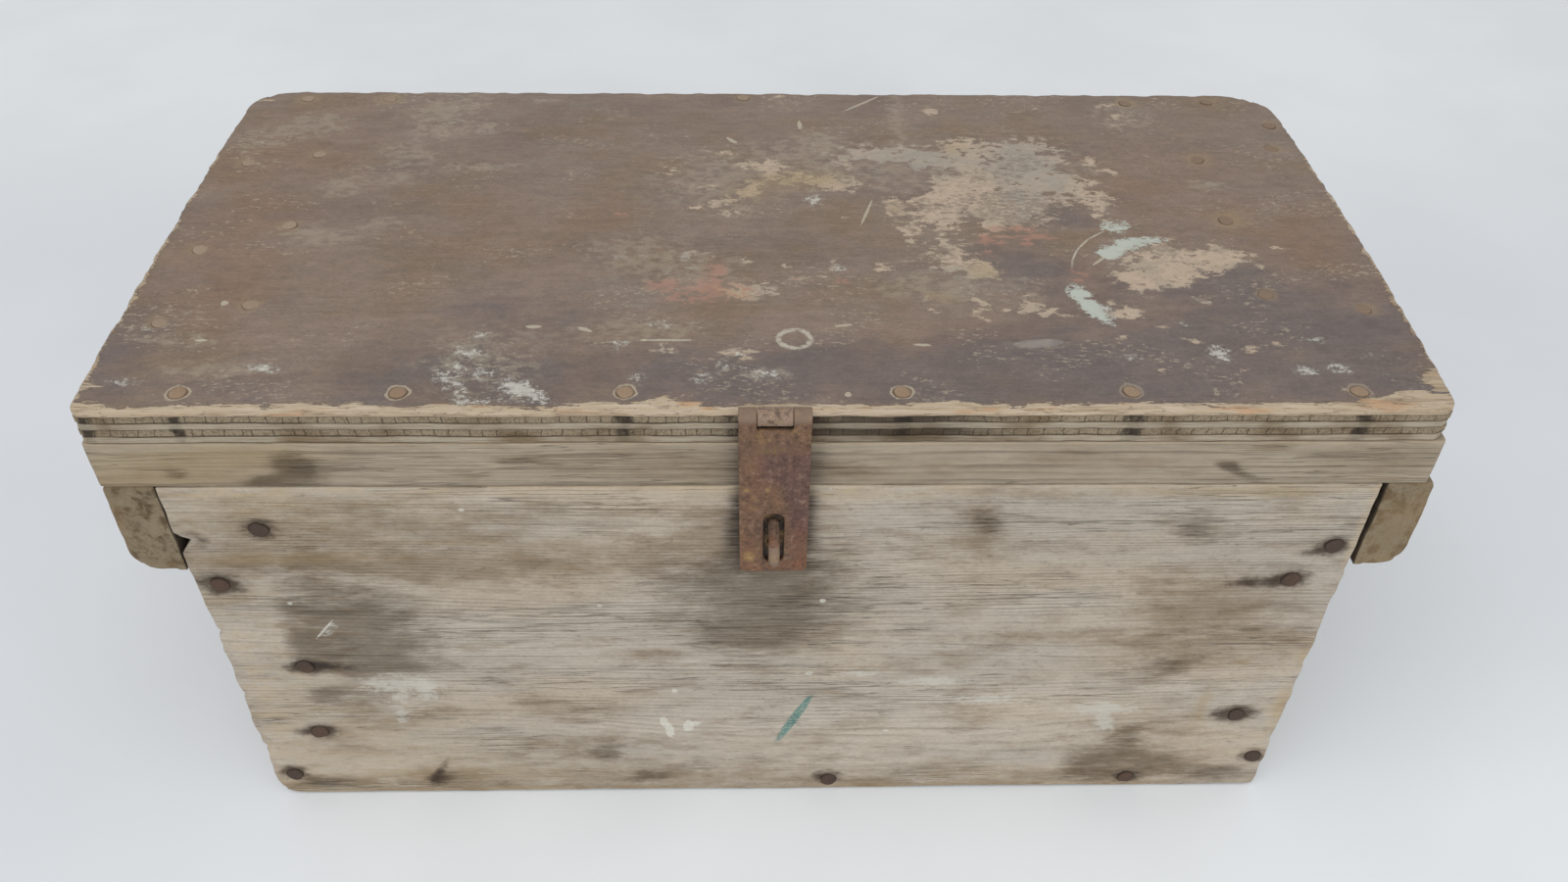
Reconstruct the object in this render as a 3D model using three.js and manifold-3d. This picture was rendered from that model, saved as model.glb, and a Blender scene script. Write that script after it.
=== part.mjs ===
// A carpenter's tool chest: a nailed pine box with a plywood lid, two batten handles,
// a pair of butt hinges behind and a hasp and staple in front.
// Millimetres, +X to the right, +Y to the back, +Z up, origin at the middle of the base.

import * as THREE from 'three';
import { mergeVertices } from 'three/addons/utils/BufferGeometryUtils.js';
import Module from 'manifold-3d';

const wasm = await Module();
wasm.setup();

// Clearances
const seatGap = 0.3; // between a metal fitting and what carries it
const runningGap = 0.3; // between a pin and its knuckle, and between two knuckles
const nailGap = 0.3; // between a nail or screw and its hole
const overrun = 2; // how far a cutting tool reaches past the face it cuts

// Body
const bodyLength = 540;
const bodyDepth = 286;
const wallHeight = 231;
const wallThickness = 20;
const bottomThickness = 18;
const bottomBoardCount = 3;
const bottomBoardGap = 1;
const postSize = 25;
const postDrop = 3; // from the top of the walls down to the top of the posts
const ease = 1.2; // worn arris of a board

// Front board: worn lower corners, a short right end and a chip under the left handle
const frontLeftRadius = 9;
const frontRightRadius = 5;
const frontEndGap = 1.4;
const chipDepth = 6;
const chipHeight = 13;
const chipDrop = 34; // from the top of the walls down to the middle of the chip

// Handles
const cleatHeight = 53;
const cleatThickness = 23.5;
const cleatRadius = 13;

// Lid
const lidOverhang = 20; // how far the lid reaches past each end of the body
const lidShift = 3; // how far the lid sits to the left of the body
const plyCount = 5;
const plyThickness = 3.6;
const plyRecess = 0.5; // how far the cross plies have worn back
const railHeight = 25;
const railThickness = 20;
const lidBackRadius = 14;
const lidFrontRadius = 4;
const wornWidth = 5; // the torn front edge of the top ply
const wornDrop = 3;
const battenWidth = 30;
const battenHeight = 20;
const battenInset = 56; // from the end of the lid to the middle of the batten

// Sheet metal of the hasp and the hinges
const plateThickness = 2;
const pinRadius = 1.7;
const curlAngle = THREE.MathUtils.degToRad(285);
const plateRadius = 2.5; // corners of the leaves

// Hasp
const haspWidth = 30.5;
const haspKnuckle = 14.8; // length of the middle knuckle
const haspRise = 0.6; // from the top of the lid up to the pin
const haspShift = 2; // how far the hasp sits to the left of the body's middle
const haspLeafReach = 38;
const strapReach = 92.6; // from the pin to the end of the strap
const slotWidth = 9.4;
const slotStart = 54.4; // from the pin to the near end of the slot
const slotEnd = 87.2;

// Staple
const wireRadius = 2.5;
const legSpacing = 13;
const stapleReach = 21; // from the front board to the outside of the loop
const staplePlateWidth = 27;
const staplePlateHeight = 46;
const staplePlateDrop = 2.5; // from the top of the front board down to the plate

// Hinges
const hingeLength = 64;
const hingeKnuckle = 26;
const hingeReach = 23; // from the pin to the far edge of a leaf
const hingeInset = 110; // from the end of the body to the middle of a hinge

// Nails
const nailHeadRadius = 4;
const nailHeadThickness = 1.2;
const nailRadius = 1.5;
const wallNailLength = 42;
const lidNailLength = 36;
const nailTip = 4;
const nailRimShare = 1 / 3; // of the head's thickness, what its flat edge stands below the crown
const nailCrownShare = 0.75; // of the head's radius, where its crown starts

// Screws
const screwHeadRadius = 3.4;
const screwRimHeight = 0.4;
const screwRadius = 1.6;
const screwLength = 15;
const screwTip = 4;
const screwSlotWidth = 0.9;
const screwSlotDepth = 0.8;
const screwInset = 7; // from the far edge of a leaf to the middle of its screws

// Roundness
const arcSteps = 3; // an arc has twice as many flats
const pinSides = 16;
const wireSteps = 20;
const wireSides = 10;
const fastenerSides = 10;

// Worked out from the sizes above
const innerLength = bodyLength - 2 * wallThickness;
const innerDepth = bodyDepth - 2 * wallThickness;
const lidLength = bodyLength + 2 * lidOverhang;
const frontFace = -bodyDepth / 2;
const backFace = bodyDepth / 2;
const panelThickness = plyCount * plyThickness;
const lidHeight = railHeight + panelThickness;
const boreRadius = pinRadius + runningGap;
const knuckleRadius = boreRadius + plateThickness;
const axisOffset = seatGap + knuckleRadius; // from a wooden face out to a hinge pin
const squareCorner = 2 * ease; // radius of a corner that is only worn

function paint(color, roughness, metalness = 0) {
  return new THREE.MeshStandardMaterial({ color, roughness, metalness });
}

const greyPine = paint(0x9a8973, 0.85);
const warmPine = paint(0xa88f6d, 0.85);
const endPine = paint(0x7d6b53, 0.9);
const innerPine = paint(0xb09a78, 0.85);
const paintedPly = paint(0x594740, 0.7);
const rustySteel = paint(0x6a4a3d, 0.7, 0.5);
const rustyNail = paint(0x4d3630, 0.8, 0.4);

// Solids and cuts

function toSolid(geometry) {
  const bare = geometry.clone();
  bare.deleteAttribute('normal');
  bare.deleteAttribute('uv');
  const merged = mergeVertices(bare);
  return new wasm.Manifold(new wasm.Mesh({
    numProp: 3,
    vertProperties: new Float32Array(merged.attributes.position.array),
    triVerts: new Uint32Array(merged.index.array),
  }));
}

function toGeometry(solid) {
  const mesh = solid.getMesh();
  const geometry = new THREE.BufferGeometry();
  geometry.setAttribute('position', new THREE.BufferAttribute(mesh.vertProperties, 3));
  geometry.setIndex(new THREE.BufferAttribute(mesh.triVerts, 1));
  geometry.computeVertexNormals();
  return geometry;
}

function cut(geometry, tools) {
  if (tools.length === 0) {
    return geometry;
  }
  let solid = toSolid(geometry);
  for (const tool of tools) {
    solid = solid.subtract(toSolid(tool));
  }
  return toGeometry(solid);
}

// Outlines

// A rectangle whose four corners, anticlockwise from the lower left, have their own radii.
function roundedOutline(left, bottom, right, top, radii) {
  const [lowerLeft, lowerRight, upperRight, upperLeft] = radii;
  const shape = new THREE.Shape();
  const half = Math.PI / 2;
  shape.moveTo(left + lowerLeft, bottom);
  shape.lineTo(right - lowerRight, bottom);
  shape.absarc(right - lowerRight, bottom + lowerRight, lowerRight, -half, 0);
  shape.lineTo(right, top - upperRight);
  shape.absarc(right - upperRight, top - upperRight, upperRight, 0, half);
  shape.lineTo(left + upperLeft, top);
  shape.absarc(left + upperLeft, top - upperLeft, upperLeft, half, 2 * half);
  shape.lineTo(left, bottom + lowerLeft);
  shape.absarc(left + lowerLeft, bottom + lowerLeft, lowerLeft, 2 * half, 3 * half);
  return shape;
}

// A plate standing in the XZ plane, its thickness along Y about its middle, its arrises worn.
function uprightPlate(shape, thickness, worn) {
  const geometry = new THREE.ExtrudeGeometry(shape, {
    depth: thickness - 2 * worn,
    bevelEnabled: worn > 0,
    bevelThickness: worn,
    bevelSize: worn,
    bevelOffset: -worn,
    bevelSegments: 1,
    curveSegments: arcSteps,
  });
  geometry.translate(0, 0, worn - thickness / 2);
  geometry.rotateX(Math.PI / 2);
  return geometry;
}

// A slab lying in the XY plane from z = 0 up, its arrises worn.
function flatSlab(shape, thickness, worn) {
  const geometry = uprightPlate(shape, thickness, worn);
  geometry.rotateX(-Math.PI / 2);
  geometry.translate(0, 0, thickness / 2);
  return geometry;
}

// A sawn board about its own middle. The outline's corners are cut by the wear too.
function board(sizeX, sizeY, sizeZ) {
  const shape = new THREE.Shape();
  const x = sizeX / 2;
  const z = sizeZ / 2;
  shape.moveTo(ease - x, -z);
  shape.lineTo(x - ease, -z);
  shape.lineTo(x, ease - z);
  shape.lineTo(x, z - ease);
  shape.lineTo(x - ease, z);
  shape.lineTo(ease - x, z);
  shape.lineTo(-x, z - ease);
  shape.lineTo(-x, ease - z);
  return uprightPlate(shape, sizeY, ease);
}

// Nails and screws, turned about Z, the head's top at z = 0 and the point below

function turned(points) {
  const outline = points.map(([radius, height]) => new THREE.Vector2(radius, height));
  const geometry = new THREE.LatheGeometry(outline, fastenerSides);
  geometry.rotateX(Math.PI / 2);
  return geometry;
}

function nail(length) {
  return turned([
    [0, -length],
    [nailRadius, nailTip - length],
    [nailRadius, -nailHeadThickness],
    [nailHeadRadius, -nailHeadThickness],
    [nailHeadRadius, -nailHeadThickness * nailRimShare],
    [nailHeadRadius * nailCrownShare, 0],
    [0, 0],
  ]);
}

function nailHole(length) {
  return turned([
    [0, -length - nailGap],
    [nailRadius + nailGap, -length - nailGap],
    [nailRadius + nailGap, -nailHeadThickness - nailGap],
    [nailHeadRadius + nailGap, -nailHeadThickness - nailGap],
    [nailHeadRadius + nailGap, overrun],
    [0, overrun],
  ]);
}

function screw() {
  const body = turned([
    [0, -screwLength],
    [screwRadius, screwTip - screwLength],
    [screwRadius, -plateThickness],
    [screwHeadRadius, -screwRimHeight],
    [screwHeadRadius, 0],
    [0, 0],
  ]);
  const slot = new THREE.BoxGeometry(2 * (screwHeadRadius + overrun), screwSlotWidth, 2 * screwSlotDepth);
  return cut(body, [slot]);
}

function screwHole() {
  return turned([
    [0, -screwLength - nailGap],
    [screwRadius + nailGap, -screwLength - nailGap],
    [screwRadius + nailGap, -plateThickness - nailGap],
    [screwHeadRadius + nailGap, -screwRimHeight - nailGap / 2],
    [screwHeadRadius + nailGap, overrun],
    [0, overrun],
  ]);
}

const wallNail = () => nail(wallNailLength);
const wallNailHole = () => nailHole(wallNailLength);
const lidNail = () => nail(lidNailLength);
const lidNailHole = () => nailHole(lidNailLength);

// A fastener's place is its head's top and the quarter turns about X that lay its head outwards:
// 0 faces up, 1 faces the front and -1 faces the back.
function fastenerPlace(x, y, z, quarter) {
  const turn = new THREE.Matrix4().makeRotationX(quarter * Math.PI / 2);
  return turn.setPosition(x, y, z);
}

// The holes that fasteners at the given places leave in a piece that stands at an origin
function holesIn(origin, places, hole) {
  const shift = new THREE.Matrix4().makeTranslation(-origin.x, -origin.y, -origin.z);
  return places.map((place) => hole().applyMatrix4(place).applyMatrix4(shift));
}

function addPiece(parent, name, geometry, material, origin = new THREE.Vector3()) {
  const mesh = new THREE.Mesh(geometry, material);
  mesh.name = name;
  mesh.position.copy(origin);
  parent.add(mesh);
  return mesh;
}

function addFasteners(parent, name, places, geometry, material) {
  places.forEach((place, index) => {
    const mesh = addPiece(parent, `${name}_${index + 1}`, geometry(), material);
    mesh.applyMatrix4(place);
  });
}

// Where the front board's nails go: the side, what they are driven into, how far across that
// piece and how far up the wall, the last two as shares.
const wallNailShares = [
  [-1, 'post', 0.74, 0.887],
  [-1, 'end', 0.6, 0.732],
  [-1, 'post', 0.7, 0.472],
  [-1, 'post', 0.53, 0.242],
  [-1, 'end', 0.59, 0.078],
  [1, 'end', 0.63, 0.83],
  [1, 'post', 0.27, 0.732],
  [1, 'post', 0.28, 0.278],
  [1, 'end', 0.45, 0.118],
];

// The nails into the edge of the bottom, as shares of half the length
const bottomNailShares = [0.112, 0.721];

// The nails along the front of the lid, as shares of half the lid's length
const lidNailShares = [-0.857, -0.542, -0.214, 0.19, 0.528, 0.866];

// How far in from the front of its rail a lid nail stands
const lidNailInsetShare = 0.64;

function frontNailPlaces() {
  const places = wallNailShares.map(([side, into, across, up]) => {
    const inset = into === 'post' ? wallThickness + postSize * across : wallThickness * across;
    return fastenerPlace(side * (bodyLength / 2 - inset), frontFace, wallHeight * up, 1);
  });
  for (const across of bottomNailShares) {
    places.push(fastenerPlace(across * bodyLength / 2, frontFace, bottomThickness / 2, 1));
  }
  return places;
}

function lidNailPlaces() {
  const y = frontFace + railThickness * lidNailInsetShare;
  return lidNailShares.map((across) => fastenerPlace(across * lidLength / 2, y, lidHeight, 0));
}

// Walls, bottom, posts and handles

// The front board's outline: worn lower corners and, at the left end, the chip.
function frontOutline() {
  const left = -bodyLength / 2;
  const right = bodyLength / 2 - frontEndGap;
  const chip = wallHeight - chipDrop;
  const shape = new THREE.Shape();
  const half = Math.PI / 2;
  shape.moveTo(left + frontLeftRadius, 0);
  shape.lineTo(right - frontRightRadius, 0);
  shape.absarc(right - frontRightRadius, frontRightRadius, frontRightRadius, -half, 0);
  shape.lineTo(right, wallHeight - ease);
  shape.lineTo(right - ease, wallHeight);
  shape.lineTo(left + ease, wallHeight);
  shape.lineTo(left, wallHeight - ease);
  shape.lineTo(left, chip + chipHeight / 2);
  shape.lineTo(left + chipDepth, chip + chipHeight / 4);
  shape.lineTo(left, chip - chipHeight / 2);
  shape.lineTo(left, frontLeftRadius);
  shape.absarc(left + frontLeftRadius, frontLeftRadius, frontLeftRadius, 2 * half, 3 * half);
  return shape;
}

function addWalls(body, frontNails, stapleHoles, hingeScrews) {
  const frontOrigin = new THREE.Vector3(0, frontFace + wallThickness / 2, 0);
  const front = uprightPlate(frontOutline(), wallThickness, ease);
  const frontHoles = holesIn(frontOrigin, frontNails, wallNailHole);
  frontHoles.push(...holesIn(frontOrigin, stapleHoles, screwHole));
  addPiece(body, 'front_board', cut(front, frontHoles), greyPine, frontOrigin);

  const backOrigin = new THREE.Vector3(0, backFace - wallThickness / 2, wallHeight / 2);
  const back = board(bodyLength, wallThickness, wallHeight);
  const backHoles = holesIn(backOrigin, hingeScrews, screwHole);
  addPiece(body, 'back_board', cut(back, backHoles), greyPine, backOrigin);

  for (const [name, side] of [['left', -1], ['right', 1]]) {
    const x = side * (bodyLength - wallThickness) / 2;
    const origin = new THREE.Vector3(x, 0, wallHeight / 2);
    const end = board(wallThickness, innerDepth, wallHeight);
    const endHoles = holesIn(origin, frontNails, wallNailHole);
    addPiece(body, `${name}_end_board`, cut(end, endHoles), greyPine, origin);
  }
}

function addBottom(body, frontNails) {
  const names = ['front', 'middle', 'back'];
  const gaps = bottomBoardGap * (bottomBoardCount - 1);
  const width = (innerDepth - gaps) / bottomBoardCount;
  for (let index = 0; index < bottomBoardCount; index += 1) {
    const y = (width - innerDepth) / 2 + index * (width + bottomBoardGap);
    const origin = new THREE.Vector3(0, y, bottomThickness / 2);
    const slat = board(innerLength, width, bottomThickness);
    const slatHoles = holesIn(origin, frontNails, wallNailHole);
    addPiece(body, `bottom_board_${names[index]}`, cut(slat, slatHoles), innerPine, origin);
  }
}

function addPosts(body, frontNails) {
  const height = wallHeight - postDrop - bottomThickness;
  for (const [depthName, depthSide] of [['front', -1], ['back', 1]]) {
    for (const [sideName, side] of [['left', -1], ['right', 1]]) {
      const x = side * (innerLength - postSize) / 2;
      const y = depthSide * (innerDepth - postSize) / 2;
      const origin = new THREE.Vector3(x, y, bottomThickness + height / 2);
      const post = cut(board(postSize, postSize, height), holesIn(origin, frontNails, wallNailHole));
      addPiece(body, `corner_post_${depthName}_${sideName}`, post, innerPine, origin);
    }
  }
}

function addHandles(body) {
  for (const [name, side] of [['left', -1], ['right', 1]]) {
    const inner = side * bodyLength / 2;
    const outer = inner + side * cleatThickness;
    const low = wallHeight - cleatHeight;
    const worn = squareCorner;
    const radii = side > 0 ? [worn, cleatRadius, worn, worn] : [cleatRadius, worn, worn, worn];
    const section = roundedOutline(Math.min(inner, outer), low, Math.max(inner, outer), wallHeight, radii);
    addPiece(body, `${name}_handle_cleat`, uprightPlate(section, bodyDepth, ease), endPine);
  }
}

// Rolled leaves. A leaf is a flat plate whose end is curled round a pin that lies along X.
// The plate hangs down behind the pin, and the curl runs over the top to the front and under.

function leafSection(reach) {
  const shape = new THREE.Shape();
  shape.moveTo(knuckleRadius, -reach);
  shape.lineTo(knuckleRadius, 0);
  shape.absarc(0, 0, knuckleRadius, 0, curlAngle);
  shape.lineTo(boreRadius * Math.cos(curlAngle), boreRadius * Math.sin(curlAngle));
  shape.absarc(0, 0, boreRadius, curlAngle, 0, true);
  shape.lineTo(boreRadius, -reach);
  return shape;
}

// The leaf seen square on. The leaf that keeps its middle knuckle is cut back at both sides,
// and the other is cut back in the middle.
function leafOutline(width, reach, middle, keepsMiddle) {
  const side = width / 2;
  const root = knuckleRadius + runningGap;
  const knuckle = keepsMiddle ? middle / 2 : middle / 2 + runningGap;
  const outside = keepsMiddle ? -root : root;
  const inside = -outside;
  const half = Math.PI / 2;
  const shape = new THREE.Shape();
  shape.moveTo(plateRadius - side, -reach);
  shape.lineTo(side - plateRadius, -reach);
  shape.absarc(side - plateRadius, plateRadius - reach, plateRadius, -half, 0);
  shape.lineTo(side, outside);
  shape.lineTo(knuckle, outside);
  shape.lineTo(knuckle, inside);
  shape.lineTo(-knuckle, inside);
  shape.lineTo(-knuckle, outside);
  shape.lineTo(-side, outside);
  shape.lineTo(-side, plateRadius - reach);
  shape.absarc(plateRadius - side, plateRadius - reach, plateRadius, 2 * half, 3 * half);
  return shape;
}

function rolledLeaf(width, reach, middle, keepsMiddle, tools) {
  const rolled = new THREE.ExtrudeGeometry(leafSection(reach), {
    depth: width,
    bevelEnabled: false,
    curveSegments: 3 * arcSteps,
  });
  rolled.translate(0, 0, -width / 2);
  rolled.rotateX(Math.PI / 2);
  rolled.rotateZ(Math.PI / 2);
  const outline = uprightPlate(leafOutline(width, reach, middle, keepsMiddle), 4 * knuckleRadius, 0);
  const leaf = toGeometry(toSolid(rolled).intersect(toSolid(outline)));
  return cut(leaf, tools);
}

function pin(length) {
  const geometry = new THREE.CylinderGeometry(pinRadius, pinRadius, length, pinSides);
  geometry.rotateZ(Math.PI / 2);
  return geometry;
}

// Two screws in a row across a leaf, near its far edge
function leafScrewPlaces(origin, width, reach, up, quarter) {
  const face = quarter > 0 ? boreRadius : -boreRadius;
  const z = origin.z + up * (reach - screwInset);
  return [-1, 1].map((side) => {
    const x = origin.x + side * (width / 2 - screwInset);
    return fastenerPlace(x, origin.y + face, z, quarter);
  });
}

// Hinges

function hingeOrigin(side, z) {
  return new THREE.Vector3(side * (bodyLength / 2 - hingeInset), backFace + axisOffset, z);
}

// The hinge stands on the body, so its place in the lid's group is shifted back
function lidHingeOrigin(side) {
  return hingeOrigin(side, 0).add(new THREE.Vector3(lidShift, 0, 0));
}

function addBodyHinges(body) {
  for (const [name, side] of [['left', -1], ['right', 1]]) {
    const origin = hingeOrigin(side, wallHeight);
    const screws = leafScrewPlaces(origin, hingeLength, hingeReach, -1, -1);
    const leaf = rolledLeaf(hingeLength, hingeReach, hingeKnuckle, false, []);
    leaf.rotateZ(Math.PI);
    const cutLeaf = cut(leaf, holesIn(origin, screws, screwHole));
    addPiece(body, `${name}_hinge_body_leaf`, cutLeaf, rustySteel, origin);
    addPiece(body, `${name}_hinge_pin`, pin(hingeLength), rustySteel, origin);
    addFasteners(body, `${name}_hinge_body_screw`, screws, screw, rustyNail);
  }
}

function addLidHinges(lid) {
  for (const [name, side] of [['left', -1], ['right', 1]]) {
    const origin = lidHingeOrigin(side);
    const screws = leafScrewPlaces(origin, hingeLength, hingeReach, 1, -1);
    const leaf = rolledLeaf(hingeLength, hingeReach, hingeKnuckle, true, []);
    leaf.rotateX(Math.PI);
    const cutLeaf = cut(leaf, holesIn(origin, screws, screwHole));
    addPiece(lid, `${name}_hinge_lid_leaf`, cutLeaf, rustySteel, origin);
    addFasteners(lid, `${name}_hinge_lid_screw`, screws, screw, rustyNail);
  }
}

function hingeScrewPlaces(originOf, up) {
  const places = [];
  for (const side of [-1, 1]) {
    places.push(...leafScrewPlaces(originOf(side), hingeLength, hingeReach, up, -1));
  }
  return places;
}

// Staple

// The bent wire's middle line: out of the plate, round half a turn and back in.
class StapleCurve extends THREE.Curve {
  getPoint(t) {
    const radius = legSpacing / 2;
    const straight = stapleReach - seatGap - wireRadius - radius;
    const arc = Math.PI * radius;
    const along = t * (2 * straight + arc);
    if (along < straight) {
      return new THREE.Vector3(0, -along, radius);
    }
    if (along > straight + arc) {
      return new THREE.Vector3(0, along - arc - 2 * straight, -radius);
    }
    const angle = (along - straight) / radius;
    return new THREE.Vector3(0, -straight - radius * Math.sin(angle), radius * Math.cos(angle));
  }
}

function wireSection() {
  const points = [];
  for (let side = 0; side < wireSides; side += 1) {
    const angle = 2 * Math.PI * side / wireSides;
    points.push(new THREE.Vector2(wireRadius * Math.cos(angle), wireRadius * Math.sin(angle)));
  }
  return new THREE.Shape(points);
}

function stapleOrigin() {
  const z = wallHeight - staplePlateDrop - staplePlateHeight / 2;
  return new THREE.Vector3(-haspShift, frontFace - seatGap, z);
}

// One screw above the staple and one below it
function stapleScrewPlaces() {
  const origin = stapleOrigin();
  return [-1, 1].map((side) => {
    const z = origin.z + side * (staplePlateHeight / 2 - screwInset + screwRadius);
    return fastenerPlace(origin.x, origin.y - plateThickness, z, 1);
  });
}

function addStaple(body) {
  const origin = stapleOrigin();
  const screws = stapleScrewPlaces();
  const w = staplePlateWidth / 2;
  const h = staplePlateHeight / 2;
  const radii = [plateRadius, plateRadius, plateRadius, plateRadius];
  const plate = uprightPlate(roundedOutline(-w, -h, w, h, radii), plateThickness, 0);
  plate.translate(0, -plateThickness / 2, 0);
  const legHoles = [-1, 1].map((side) => {
    const radius = wireRadius + runningGap;
    const hole = new THREE.CylinderGeometry(radius, radius, 2 * (plateThickness + overrun), pinSides);
    return hole.translate(0, 0, side * legSpacing / 2);
  });
  const cutPlate = cut(plate, [...legHoles, ...holesIn(origin, screws, screwHole)]);
  addPiece(body, 'staple_plate', cutPlate, rustySteel, origin);

  const wire = new THREE.ExtrudeGeometry(wireSection(), {
    steps: wireSteps,
    extrudePath: new StapleCurve(),
    bevelEnabled: false,
  });
  addPiece(body, 'staple', wire, rustySteel, origin);
  addFasteners(body, 'staple_screw', screws, screw, rustyNail);
}

// Lid

function lidOutline(recess) {
  const x = lidLength / 2 - recess;
  const y = bodyDepth / 2 - recess;
  const front = lidFrontRadius - recess;
  const back = lidBackRadius - recess;
  return roundedOutline(-x, -y, x, y, [front, front, back, back]);
}

// The cross plies have worn back a little at the edge, so the panel is a core of their outline
// with every second ply standing out of it.
function pliedPanel() {
  const core = flatSlab(lidOutline(plyRecess), panelThickness - plyThickness, 0);
  core.translate(0, 0, plyThickness / 2);
  let panel = toSolid(core);
  for (let index = 0; index < plyCount; index += 2) {
    const ply = flatSlab(lidOutline(0), plyThickness, 0);
    ply.translate(0, 0, index * plyThickness);
    panel = panel.add(toSolid(ply));
  }
  return toGeometry(panel);
}

// The wedge that wear has taken off the top front edge of the panel
function wornWedge() {
  const shape = new THREE.Shape();
  shape.moveTo(-overrun, -wornDrop * (1 + overrun / wornWidth));
  shape.lineTo(wornWidth + overrun, wornDrop * overrun / wornWidth);
  shape.lineTo(-overrun, wornDrop * overrun / wornWidth);
  const length = lidLength + 2 * overrun;
  const wedge = new THREE.ExtrudeGeometry(shape, { depth: length, bevelEnabled: false });
  wedge.translate(0, 0, -length / 2);
  wedge.rotateX(Math.PI / 2);
  wedge.rotateZ(Math.PI / 2);
  wedge.translate(0, frontFace, panelThickness);
  return wedge;
}

function addPanel(lid, nails) {
  const origin = new THREE.Vector3(0, 0, railHeight);
  const holes = holesIn(origin, nails, lidNailHole);
  addPiece(lid, 'lid_panel', cut(pliedPanel(), [wornWedge(), ...holes]), paintedPly, origin);
}

function addRails(lid, nails, leafScrews, hingeScrews) {
  const x = lidLength / 2;
  const y = bodyDepth / 2;
  const frontRadii = [lidFrontRadius, lidFrontRadius, squareCorner, squareCorner];
  const backRadii = [squareCorner, squareCorner, lidBackRadius, lidBackRadius];
  const front = flatSlab(roundedOutline(-x, -y, x, railThickness - y, frontRadii), railHeight, ease);
  const back = flatSlab(roundedOutline(-x, y - railThickness, x, y, backRadii), railHeight, ease);
  const middle = new THREE.Vector3();
  const frontHoles = [...holesIn(middle, nails, lidNailHole), ...holesIn(middle, leafScrews, screwHole)];
  addPiece(lid, 'front_rail', cut(front, frontHoles), warmPine);
  addPiece(lid, 'back_rail', cut(back, holesIn(middle, hingeScrews, screwHole)), warmPine);

  const length = bodyDepth - 2 * railThickness;
  for (const [name, side] of [['left', -1], ['right', 1]]) {
    const origin = new THREE.Vector3(side * (lidLength - railThickness) / 2, 0, railHeight / 2);
    addPiece(lid, `${name}_rail`, board(railThickness, length, railHeight), warmPine, origin);
  }
}

function addBattens(lid) {
  const length = bodyDepth - 2 * railThickness;
  for (const [name, side] of [['left', -1], ['right', 1]]) {
    const x = side * (lidLength / 2 - battenInset);
    const origin = new THREE.Vector3(x, 0, railHeight - battenHeight / 2);
    addPiece(lid, `${name}_lid_batten`, board(battenWidth, length, battenHeight), innerPine, origin);
  }
}

// Hasp

function haspOrigin() {
  return new THREE.Vector3(lidShift - haspShift, frontFace - axisOffset, lidHeight + haspRise);
}

function haspScrewPlaces() {
  return leafScrewPlaces(haspOrigin(), haspWidth, haspLeafReach, -1, 1);
}

function addHaspLeaf(lid) {
  const origin = haspOrigin();
  const screws = haspScrewPlaces();
  const holes = holesIn(origin, screws, screwHole);
  const leaf = rolledLeaf(haspWidth, haspLeafReach, haspKnuckle, true, holes);
  addPiece(lid, 'hasp_leaf', leaf, rustySteel, origin);
  addPiece(lid, 'hasp_pin', pin(haspWidth), rustySteel, origin);
  addFasteners(lid, 'hasp_leaf_screw', screws, screw, rustyNail);
}

// The strap leans in until its end rests on the lower edge of the staple plate. Its back hangs
// the bore's radius in front of the pin, so the lean takes up that and what the pin stands off.
function strapLean() {
  const pinHeight = lidHeight + haspRise + staplePlateDrop + staplePlateHeight;
  const standOff = axisOffset - seatGap - plateThickness - runningGap;
  return Math.atan((standOff + boreRadius) / pinHeight);
}

function addStrap(lid) {
  const middle = -(slotStart + slotEnd) / 2;
  const w = slotWidth / 2;
  const h = (slotEnd - slotStart) / 2;
  const outline = roundedOutline(-w, middle - h, w, middle + h, [w, w, w, w]);
  const slot = uprightPlate(outline, 4 * knuckleRadius, 0);
  const strap = rolledLeaf(haspWidth, strapReach, haspKnuckle, false, [slot]);
  strap.rotateZ(Math.PI);
  const mesh = addPiece(lid, 'hasp_strap', strap, rustySteel, haspOrigin());
  mesh.rotation.x = strapLean();
}

// Assembly

const chest = new THREE.Group();
const body = new THREE.Group();
const lid = new THREE.Group();
lid.position.set(-lidShift, 0, wallHeight);
chest.add(body, lid);

const frontNails = frontNailPlaces();
const bodyHingeScrews = hingeScrewPlaces((side) => hingeOrigin(side, wallHeight), -1);
addWalls(body, frontNails, stapleScrewPlaces(), bodyHingeScrews);
addBottom(body, frontNails);
addPosts(body, frontNails);
addHandles(body);
addStaple(body);
addBodyHinges(body);
addFasteners(body, 'front_nail', frontNails, wallNail, rustyNail);

const lidNails = lidNailPlaces();
addPanel(lid, lidNails);
addRails(lid, lidNails, haspScrewPlaces(), hingeScrewPlaces(lidHingeOrigin, 1));
addBattens(lid);
addHaspLeaf(lid);
addStrap(lid);
addLidHinges(lid);
addFasteners(lid, 'lid_nail', lidNails, lidNail, rustyNail);

export default chest;
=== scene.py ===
"""The looks of a carpenter's tool chest: a nailed pine box under a painted plywood lid, with two
batten handles, a pair of butt hinges and a hasp over a bent-wire staple.

The frame is in metres, +X to the right, +Y to the back, +Z up, origin at the middle of the base.
Shapes are worked out in millimetres, and MM turns them to metres."""

import itertools
import math

import bmesh
import bpy
import numpy as np
from mathutils import Matrix, Vector


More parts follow.
